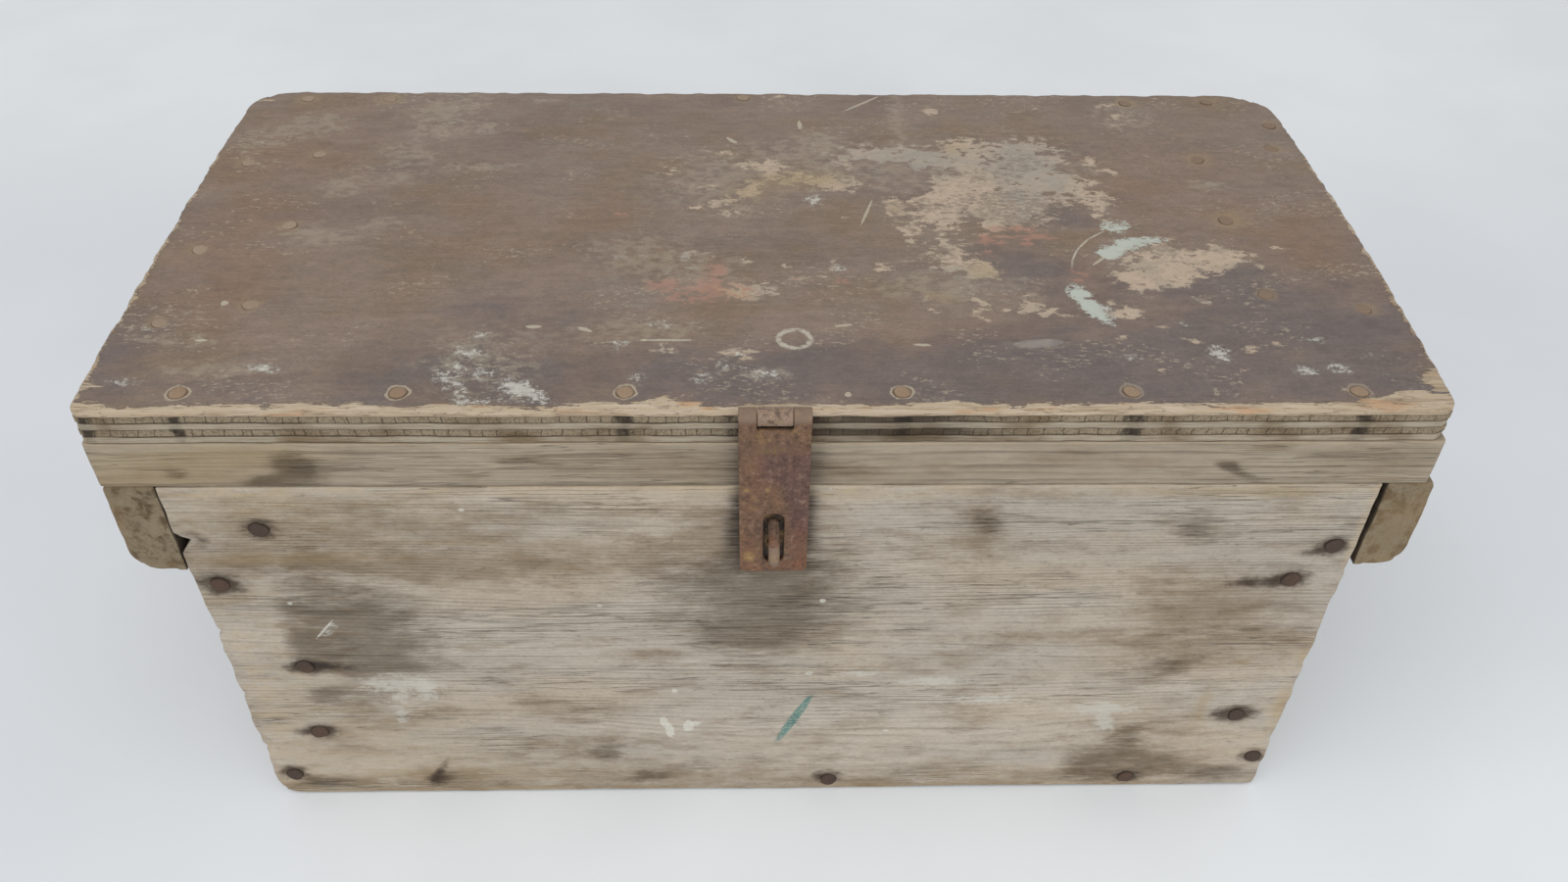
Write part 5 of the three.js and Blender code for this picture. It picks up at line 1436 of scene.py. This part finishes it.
def hammered_nails(places, normals, radius, shank, reach, seed, sides=16):
    """Nails as one outline turned about each nail's own line: the outline runs from the crown
    over the rim to the shank and its point, the second parameter is the angle. Each head is
    tilted a little and its rim wanders, as a hammer leaves it."""
    crown = np.array([0.0, 0.35, 0.62, 0.82, 0.94, 1.0, 0.99, 0.9]) * radius
    drop = np.array([0.0, 0.02, 0.05, 0.14, 0.3, 0.55, 0.95, 1.2])
    outline_r = np.concatenate([crown, [shank, shank, 0.0]])
    outline_h = np.concatenate([-drop, [-1.2, 4.0 - reach, -reach]])
    angle = np.linspace(0, 2 * math.pi, sides, endpoint=False)
    random = np.random.default_rng(seed)
    count = len(places)
    tilt = random.uniform(-0.09, 0.09, (count, 2))
    phase = random.uniform(0, 2 * math.pi, (count, 3))
    wander = 1 + sum(
        0.035 * np.sin((k + 2) * angle[None, :] + phase[:, k : k + 1]) for k in range(3)
    )
    ring, level = outline_r[None, :, None], outline_h[None, :, None]
    r = ring * np.where(ring > shank, wander[:, None, :], 1)
    x, y = r * np.cos(angle), r * np.sin(angle)
    tilt_x, tilt_y = tilt.T[:, :, None, None]
    phase_x, phase_y = phase.T[:2, :, None, None]
    h = level + tilt_x * x + tilt_y * y
    dent = 0.16 * np.sin(1.3 * x + phase_x) * np.cos(1.5 * y + phase_y)
    h = h + dent * (ring < 0.9 * radius) * (level > -1.0)
    first, second = frames(normals)
    points = (
        places[:, None, None, :]
        + x[..., None] * first[:, None, None, :]
        + y[..., None] * second[:, None, None, :]
        + h[..., None] * normals[:, None, None, :]
    )
    rows = len(outline_r)
    one = grid_faces(rows, sides, closed=True)
    quads = (one[None] + (np.arange(count) * rows * sides)[:, None, None]).reshape(-1, 4)
    rim = np.broadcast_to(ring / radius > 0.9, r.shape).astype(float)
    points, faces, kept = weld(points.reshape(-1, 3), quads[:, ::-1])
    return points, faces, rim.reshape(-1)[kept]


class CHEST_OT_nails(bpy.types.Operator):
    """All the nails, with their hammered heads"""

    bl_idname = "chest.nails"
    bl_label = "Nails"

    def execute(self, context):
        sizes, colours = context.scene.chest_sizes, context.scene.chest_colours
        body_iron = nail_iron("rusty_nail_iron", colours.nail, "#5e4a3e", varied=0.22)
        lid_iron = nail_iron("rubbed_nail_iron", colours.lid_nail, "#ab9276", varied=0.15)
        dusty_iron = nail_iron("dusty_nail_iron", "#a08c77", "#ae9b84", varied=0.1, shaded=0.8)
        front = cad_places("front_nail", 11, axis=1, side=-1)
        lid_front, lid_rest = all_lid_nails()
        head = sizes.nail_head
        large = 1.14 * head  # the heads on the front, as the real ones are
        # Name, CAD nodes and their count, body, iron, radius of the head, how far it stands out,
        # length, way out and places
        groups = [
            ("front_nails", "front_nail", 11, "carcase", body_iron, large, 0.35, 42, (0, -1, 0),
             front),
            ("lid_front_nails", "lid_nail", 6, "lid", lid_iron, head, 0.05, 36, (0, 0, 1),
             lid_front),
            ("lid_nails_rest", "", 0, "lid", dusty_iron, head, -0.1, 34, (0, 0, 1), lid_rest),
            ("back_nails", "", 0, "carcase", body_iron, head, 0.3, 40, (0, 1, 0), back_nails()),
        ]
        for part, find, proud in (("end", end_nails, 0.3), ("handle", handle_nails, -0.6)):
            for name, side in (("left", -1), ("right", 1)):
                groups.append((
                    f"{name}_{part}_nails", "", 0, "carcase", body_iron, head, proud, 40,
                    (side, 0, 0), find(side),
                ))
        for seed, group in enumerate(groups, 70):
            name, nodes, count, body, finish, radius, proud, reach, way, places = group
            normals = np.broadcast_to(np.array(way, float), places.shape)
            points, faces, rim = hammered_nails(
                places + normals * proud, normals, radius, sizes.nail_shank, reach, seed
            )
            make_piece(
                name, points, faces, [finish], body, "rusty_nails", {"rim": rim},
                stands_for=[f"{nodes}_{index + 1}" for index in range(count)],
            )
        return {"FINISHED"}


# Ironwork


def sheet_grid(across, along, keep):
    """A flat sheet as a grid of places across and along, less the cells whose middle fails the
    test, as rows of the two places and their quads."""
    u, v = np.meshgrid(across, along, indexing="xy")
    quads = grid_faces(*u.shape)
    points = np.stack([u.ravel(), v.ravel()], axis=1)
    middle = points[quads].mean(axis=1)
    return points, quads[keep(middle[:, 0], middle[:, 1])]


def slotted_end(across, top, slot_low, slot_high, slot_half, corner):
    """The end of a strap round its slot. One parameter runs round the strap's outline, the other
    from the slot's rim, which is the outline of all points at the slot's half width from its
    middle line, straight out to the strap's own outline."""
    half = across[-1]
    steps = np.linspace(top, 0, 24)[1:-1]
    right = np.stack([np.full(len(steps), half), steps], axis=1)
    bottom = np.stack([across[::-1], np.zeros(len(across))], axis=1)
    left = np.stack([np.full(len(steps), -half), steps[::-1]], axis=1)
    upper = np.stack([across, np.full(len(across), top)], axis=1)
    outline = np.concatenate([upper, right, bottom, left])
    padded = np.concatenate([outline[:, :1], np.zeros((len(outline), 1)), outline[:, 1:]], axis=1)
    for x, inward in ((-half, 1), (half, -1)):
        padded = round_corner(padded, (0, 2), (x, 0.0), (inward, 1), corner)
    outline = padded[:, [0, 2]]
    level = np.clip(outline[:, 1], slot_low + slot_half, slot_high - slot_half)
    core = np.stack([np.zeros(len(outline)), level], axis=1)
    ray = outline - core
    rim = core + slot_half * ray / np.linalg.norm(ray, axis=1, keepdims=True)
    shares = np.array([0, 0.06, 0.16, 0.32, 0.54, 0.78, 1.0])[:, None, None]
    rings = rim[None] * (1 - shares) + outline[None] * shares
    return rings.reshape(-1, 2), grid_faces(len(shares), len(outline), closed=True)


def rolled_sheet(flat, quads, reach, roll, lean, origin):
    """The middle of a hanging sheet that is rolled round a pin: the flat sheet's far end lies
    `reach` from the pin, and past the pin's height the sheet turns round it at the roll's radius.
    Also gives the faces, and each point's place on the flat sheet."""
    corners = np.concatenate([flat, np.zeros((len(flat), 1))], axis=1)
    corners, faces, _ = weld(corners, quads)
    across, along = corners[:, 0], corners[:, 1]
    turn = np.clip(along - reach, 0, None) / roll
    buckle = 0.22 * (cloud(corners, (14, 22, 9), 81) - 0.5) * unit((reach - along) / 12.0)
    y = -(roll * np.cos(turn) + buckle)
    z = np.minimum(along, reach) - reach + roll * np.sin(turn)
    c, s = math.cos(lean), math.sin(lean)
    return np.stack([across, y * c - z * s, y * s + z * c], axis=1) + origin, faces, corners


def merged_copy(node, finish, body, slot, softened=0.25):
    """A metal part kept as it was cut, its loose triangles joined and its arrises softened."""
    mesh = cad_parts[node].data.copy()
    work = bmesh.new()
    work.from_mesh(mesh)
    bmesh.ops.remove_doubles(work, verts=work.verts, dist=0.01 * MM)
    work.to_mesh(mesh)
    work.free()
    mesh.materials.clear()
    mesh.materials.append(finish)
    for field in ("violet", "bloom", "ochre_spot_and_highlight", "rubbed", "rim"):
        mesh.attributes.new(field, "FLOAT", "POINT")
    mesh.shade_smooth()
    mesh.set_sharp_from_angle(angle=math.radians(38))
    ease_edges(link_piece(f"{node}_worn", mesh, body, slot, [node]), softened, 45)


def rod(path, radius, sides, side_way, seed):
    """A round rod carried along a path that lies in a plane: rings of points square to the path,
    with rounded ends, and a skin that wanders by a few hundredths."""
    along = np.gradient(path, axis=0)
    along /= np.linalg.norm(along, axis=1, keepdims=True)
    side = np.broadcast_to(np.asarray(side_way, float), path.shape)
    other = np.cross(along, side)
    angle = np.linspace(0, 2 * math.pi, sides, endpoint=False)
    c, s = np.cos(angle)[None, :, None], np.sin(angle)[None, :, None]
    ring = c * side[:, None] + s * other[:, None]
    shrink = np.ones(len(path))
    shrink[[0, -1]] = 0.0
    shrink[[1, -2]] = 0.72
    points = path[:, None] + radius * shrink[:, None, None] * ring
    rough = cloud(points.reshape(-1, 3), (2.6, 2.6, 2.6), seed).reshape(points.shape[:2])
    points = points + (rough[..., None] - 0.5) * 0.32 * shrink[:, None, None] * ring
    return weld(points.reshape(-1, 3), grid_faces(len(path), sides, closed=True))


# Rust on the strap, as soft ovals: the place across and along it from its lower end, the half
# lengths and the strength.
STRAP_MARKS = {
    "violet": (
        (3, 66, 10, 10, 1.0), (11, 52, 5, 16, 0.9), (12, 30, 4, 12, 0.6), (-7, 30, 5, 8, 0.4),
    ),
    "bloom": (
        (13, 8, 4, 16, 0.9), (0, 4, 12, 4, 0.5), (-8, 60, 5, 10, 0.35), (-12, 12, 3, 12, 0.6),
    ),
    "ochre_spot_and_highlight": (
        (-10.8, 10.2, 2.4, 3.4, 1.0), (-12, 53, 1.6, 1.6, 0.8), (-3.2, 53, 1.4, 1.4, 0.8),
        (-2, 77, 9, 3, 0.4), (-9, 66, 3, 6, 0.35),
    ),
}


class CHEST_OT_hasp(bpy.types.Operator):
    """The hasp: fixed leaf, pin and slotted strap"""

    bl_idname = "chest.hasp"
    bl_label = "Hasp"

    def execute(self, context):
        sizes, colours = context.scene.chest_sizes, context.scene.chest_colours
        strap_iron = rusty_iron(colours, "rusty_sheet_iron", colours.rust)
        leaf_iron = rusty_iron(colours, "rubbed_sheet_iron", "#917a68")
        pin_low, pin_high = box_of("hasp_pin")
        origin = (pin_low + pin_high) / 2
        half = (pin_high[0] - pin_low[0]) / 2
        reach, knuckle = 92.6, 14.8  # the strap below its pin, and the leaf's knuckle in the middle
        root = reach - (sizes.roll + sizes.sheet / 2 + sizes.gap)
        notch = knuckle / 2 + sizes.gap
        across = np.concatenate([
            np.linspace(-half, -notch, 8)[:-1], np.linspace(-notch, notch, 15)[:-1],
            np.linspace(notch, half, 8),
        ])
        top = reach - 45.0  # where the part round the slot begins
        curl = sizes.roll * math.radians(285)
        along = np.concatenate([
            np.linspace(top, root, 40)[:-1], np.linspace(root, reach, 5)[:-1],
            np.linspace(reach, reach + curl, 30),
        ])
        upper, upper_quads = sheet_grid(
            across, along, lambda u, v: ~((np.abs(u) < notch) & (v > root))
        )
        slot_low, slot_high, slot_half, corner = reach - 87.2, reach - 54.4, 4.7, 2.5
        lower, lower_quads = slotted_end(across, top, slot_low, slot_high, slot_half, corner)
        flat = np.concatenate([upper, lower])
        quads = np.concatenate([upper_quads, lower_quads + len(upper)])
        points, faces, place = rolled_sheet(flat, quads, reach, sizes.roll, strap_lean(), origin)
        fields = {field: marks(place, (0, 1), ovals) for field, ovals in STRAP_MARKS.items()}
        fields["rubbed"] = np.clip((place[:, 1] - reach + 2.0) / 4.0, 0, 0.9)
        strap = make_piece(
            "hasp_strap_worn", points, faces, [strap_iron], "hasp_strap", "rusty_steel", fields,
            stands_for=["hasp_strap"],
        )
        solid = strap.modifiers.new("thickness", "SOLIDIFY")
        solid.thickness, solid.offset, solid.use_even_offset = sizes.sheet * MM, 0.0, True
        ease_edges(strap, 0.35, 50)
        merged_copy("hasp_leaf", leaf_iron, "lid", "rusty_steel")
        for index in (1, 2):
            merged_copy(f"hasp_leaf_screw_{index}", leaf_iron, "lid", "rusty_nails", 0.15)
        pin_piece("hasp_pin", leaf_iron, "lid")
        return {"FINISHED"}


def strap_lean():
    """How far the strap leans in at rest: the slope between the two ends of its back."""
    pin_low, pin_high = box_of("hasp_pin")
    pin = (pin_low + pin_high) / 2
    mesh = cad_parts["hasp_strap"].data
    values = np.empty(len(mesh.vertices) * 3)
    mesh.vertices.foreach_get("co", values)
    place = values.reshape(-1, 3) / MM
    foot = place[:, 2].min()
    back = place[place[:, 2] < foot + 1.2, 1].max()
    return math.asin((back - (pin[1] - 2.0)) / (pin[2] - foot))


def pin_piece(node, finish, body):
    """A hinge pin along X, its two ends hammered to low domes."""
    low, high = box_of(node)
    middle, radius = (low + high) / 2, (high[2] - low[2]) / 2
    shaft = np.linspace(low[0] + 0.3, high[0] - 0.3, 9)
    x = np.concatenate([low[0] - [0.4, 0.2], shaft, high[0] + [0.2, 0.4]])
    path = np.stack(np.broadcast_arrays(x, middle[1], middle[2]), axis=1)
    points, faces, _ = rod(path, radius, 20, (0, 0, 1), 83)
    fields = {"rubbed": np.full(len(points), 0.4)}
    make_piece(
        f"{node}_worn", points, faces, [finish], body, "rusty_steel", fields, stands_for=[node]
    )


class CHEST_OT_staple(bpy.types.Operator):
    """The bent-wire staple, its plate and screws"""

    bl_idname = "chest.staple"
    bl_label = "Staple"

    def execute(self, context):
        colours = context.scene.chest_colours
        wire_iron = rusty_iron(colours, "rubbed_wire_iron", colours.iron, clean=0.2)
        # Painted shade: the staple's plate and screws are near black, so that the strap's slot
        # looks deep and shaded where the plate shows through it
        plate_iron_painted_shade = rusty_iron(colours, "near_black_iron_painted_slot_shade", "#2c221b")
        low, high = box_of("staple")
        radius = (high[0] - low[0]) / 2
        turn = (high[2] - low[2]) / 2 - radius
        x, z = (low[0] + high[0]) / 2, (low[2] + high[2]) / 2
        front = low[1] + radius + turn
        angle = np.linspace(0, math.pi, 29)
        straight = np.linspace(high[1], front, 9)[:-1]
        y = np.concatenate([straight, front - turn * np.sin(angle), straight[::-1]])
        level = np.full(len(straight), turn)
        up = z + np.concatenate([level, turn * np.cos(angle), -level])
        path = np.stack(np.broadcast_arrays(x, y, up), axis=1)
        points, faces, _ = rod(path, radius, 20, (1, 0, 0), 84)
        fields = {
            "bloom": marks(points, (1, 2), ((front - 4, z + turn, 5, 3, 0.6),)),
            # The pale spot on the front of the bend is a painted highlight, and the paler front of
            # the bend below it is partly wear and partly a painted highlight
            "ochre_spot_and_highlight": marks(points, (1, 2), ((front - turn, z + 1, 4, 3, 0.8),)),
            "violet": marks(points, (1, 2), ((front - 3, z - turn, 6, 4, 0.9),)),
            "rubbed": unit((front - points[:, 1]) / 6.0) * (points[:, 2] < z + 6.0),
        }
        make_piece(
            "staple_worn", points, faces, [wire_iron], "carcase", "rusty_steel", fields,
            stands_for=["staple"],
        )
        merged_copy("staple_plate", plate_iron_painted_shade, "carcase", "rusty_steel")
        for index in (1, 2):
            merged_copy(f"staple_screw_{index}", plate_iron_painted_shade, "carcase", "rusty_nails", 0.15)
        return {"FINISHED"}


class CHEST_OT_hinges(bpy.types.Operator):
    """The two butt hinges on the back, with their pins and screws"""

    bl_idname = "chest.hinges"
    bl_label = "Hinges"

    def execute(self, context):
        iron = bpy.data.materials["rusty_sheet_iron"]
        for side in ("left", "right"):
            hinge = f"{side}_hinge"
            merged_copy(f"{hinge}_body_leaf", iron, "carcase", "rusty_steel")
            merged_copy(f"{hinge}_lid_leaf", iron, "lid", "rusty_steel")
            pin_piece(f"{hinge}_pin", iron, "carcase")
            for part, body in (("body", "carcase"), ("lid", "lid")):
                for index in (1, 2):
                    screw = f"{hinge}_{part}_screw_{index}"
                    merged_copy(screw, iron, body, "rusty_nails", 0.15)
        return {"FINISHED"}


def place_camera(scene, stage):
    """Looks right by yaw and down by pitch from level with +Y ahead, then leans over by roll."""
    yaw, pitch, roll = stage.camera_turn
    ahead = np.array([
        math.sin(yaw) * math.cos(pitch), math.cos(yaw) * math.cos(pitch), -math.sin(pitch),
    ])
    level = np.array([math.cos(yaw), -math.sin(yaw), 0.0])
    upright = np.cross(level, ahead)
    right = math.cos(roll) * level + math.sin(roll) * upright
    up = math.cos(roll) * upright - math.sin(roll) * level
    matrix = np.eye(4)
    matrix[:3] = np.stack([right, up, -ahead, np.array(stage.camera_place)], axis=1)
    camera = bpy.data.objects.new("camera", bpy.data.cameras.new("camera"))
    camera.data.sensor_width = 36.0
    camera.data.lens = stage.lens
    camera.data.clip_start, camera.data.clip_end = 0.01, 50.0
    camera.matrix_world = Matrix(matrix.tolist())
    scene.collection.objects.link(camera)
    scene.camera = camera


def light_scene(scene, stage):
    """Two large soft lamps in front and an even white sky, behind which the camera and gloss see
    the backdrop."""
    aim = np.array((0.0, 0.0, 0.15))
    for name, place, size, power in (
        ("soft_box", (-0.3, -0.8, 1.9), 1.5, stage.box_light),
        ("low_fill", (0.25, -2.2, 0.75), 1.2, stage.fill_light),
    ):
        lamp = bpy.data.lights.new(name, "AREA")
        lamp.shape, lamp.size, lamp.energy = "SQUARE", size, power
        light = bpy.data.objects.new(name, lamp)
        scene.collection.objects.link(light)
        light.location = place
        light.rotation_euler = Vector(aim - place).to_track_quat("-Z", "Y").to_euler()
    world = bpy.data.worlds.new("even_light")
    scene.world = world
    world.use_nodes = True
    tree = world.node_tree
    tree.nodes.clear()
    ray = add(tree, "ShaderNodeLightPath")
    camera, gloss, through = (
        ray.outputs[f"Is {kind} Ray"] for kind in ("Camera", "Glossy", "Transmission")
    )
    seen = add(tree, GREATER, add(tree, GREATER, camera, gloss), through)
    plain = add(tree, "ShaderNodeBackground", "#ffffff", stage.sky)
    view = add(tree, "ShaderNodeBackground", stage.backdrop, 1.0)
    add(tree, "ShaderNodeOutputWorld", add(tree, "ShaderNodeMixShader", seen, plain, view))


def paper_floor(colour):
    """Matt pale paper with painted light: a little brighter close round the chest and far behind
    it, as painted pools of light, and greyer towards the front, as painted falloff of the light.
    The levels are places along Y, in millimetres."""
    f = Finish("pale_paper_floor_painted_light")
    soft = f.streaks(250, 250)
    parts = f.add("ShaderNodeSeparateXYZ", f.place)
    level = parts.outputs["Y"]
    # A painted pool of light on the floor in front of the chest, fading out to its sides
    close = f.add(RAMP, level, -190.0, 60.0, 1.0, 0.0)
    close = f.add(TIMES, close, f.add(RAMP, level, -480.0, -240.0))
    aside = f.add(SIZE, f.add(LESS, parts.outputs["X"], 120.0))
    close = f.add(TIMES, close, f.add(RAMP, aside, 240.0, 560.0, 1.0, 0.0))
    paper = f.lay(colour, "#f6fbff", close)
    # A painted brighter band far behind the chest, faint clouds of the paper, and painted falloff
    # of the light that greys the floor towards the front
    for over, value, start, end, strength in (
        ("#f8fcff", level, 250.0, 800.0, 1.0), ("#d3d8dd", soft, 0.35, 0.65, 0.15),
        ("#c9ced3", level, -260.0, -640.0, 1.0), ("#adb3b8", level, -600.0, -1500.0, 1.0),
    ):
        paper = f.patchy(paper, over, value, start, end, strength)
    return f.close(paper, soft, 0.2, 0.9, specular=0.1)


class CHEST_OT_stage(bpy.types.Operator):
    """Camera, soft light and a pale floor"""

    bl_idname = "chest.stage"
    bl_label = "Stage"

    def execute(self, context):
        scene, stage = context.scene, context.scene.chest_stage
        scene.view_settings.view_transform = "Standard"
        place_camera(scene, stage)
        light_scene(scene, stage)
        half_floor, below = 4000, 0.2
        line = np.linspace(-half_floor, half_floor, 41)
        u, v = np.meshgrid(line, line, indexing="ij")
        points = np.stack([u.ravel(), v.ravel(), np.full(u.size, -below)], axis=1)
        faces = [grid_faces(*u.shape)[:, ::-1]]
        floor = bpy.data.objects.new(
            "floor", new_mesh("floor", points, faces, [paper_floor(stage.floor)])
        )
        scene.collection.objects.link(floor)
        return {"FINISHED"}


class CHEST_PT_panel(bpy.types.Panel):
    """Lists the steps that dress the chest"""

    bl_idname = "CHEST_PT_panel"
    bl_label = "Tool chest"
    bl_space_type = "VIEW_3D"
    bl_region_type = "UI"
    bl_category = "Chest"

    def draw(self, context):
        for step in STEPS:
            self.layout.operator(step.bl_idname)


STEPS = (
    CHEST_OT_front_board, CHEST_OT_plain_boards, CHEST_OT_handles, CHEST_OT_lid_panel,
    CHEST_OT_lid_rim, CHEST_OT_hasp, CHEST_OT_staple, CHEST_OT_hinges, CHEST_OT_nails,
    CHEST_OT_stage,
)
CLASSES = (ChestSizes, ChestColours, ChestStage, *STEPS, CHEST_PT_panel)
GROUPS = {"chest_sizes": ChestSizes, "chest_colours": ChestColours, "chest_stage": ChestStage}


def register():
    """Registers the classes and hangs the three groups of properties on the scene."""
    for each in CLASSES:
        bpy.utils.register_class(each)
    for name, group in GROUPS.items():
        setattr(bpy.types.Scene, name, bpy.props.PointerProperty(type=group))


def unregister():
    """Takes the properties and classes away again."""
    for name in GROUPS:
        delattr(bpy.types.Scene, name)
    for each in reversed(CLASSES):
        bpy.utils.unregister_class(each)


def main():
    """Dresses the chest step by step."""
    register()
    for step in STEPS:
        group, name = step.bl_idname.split(".")
        result = getattr(getattr(bpy.ops, group), name)()
        if result != {"FINISHED"}:
            raise RuntimeError(f"{step.bl_label} was not finished")


if __name__ == "__main__":
    main()
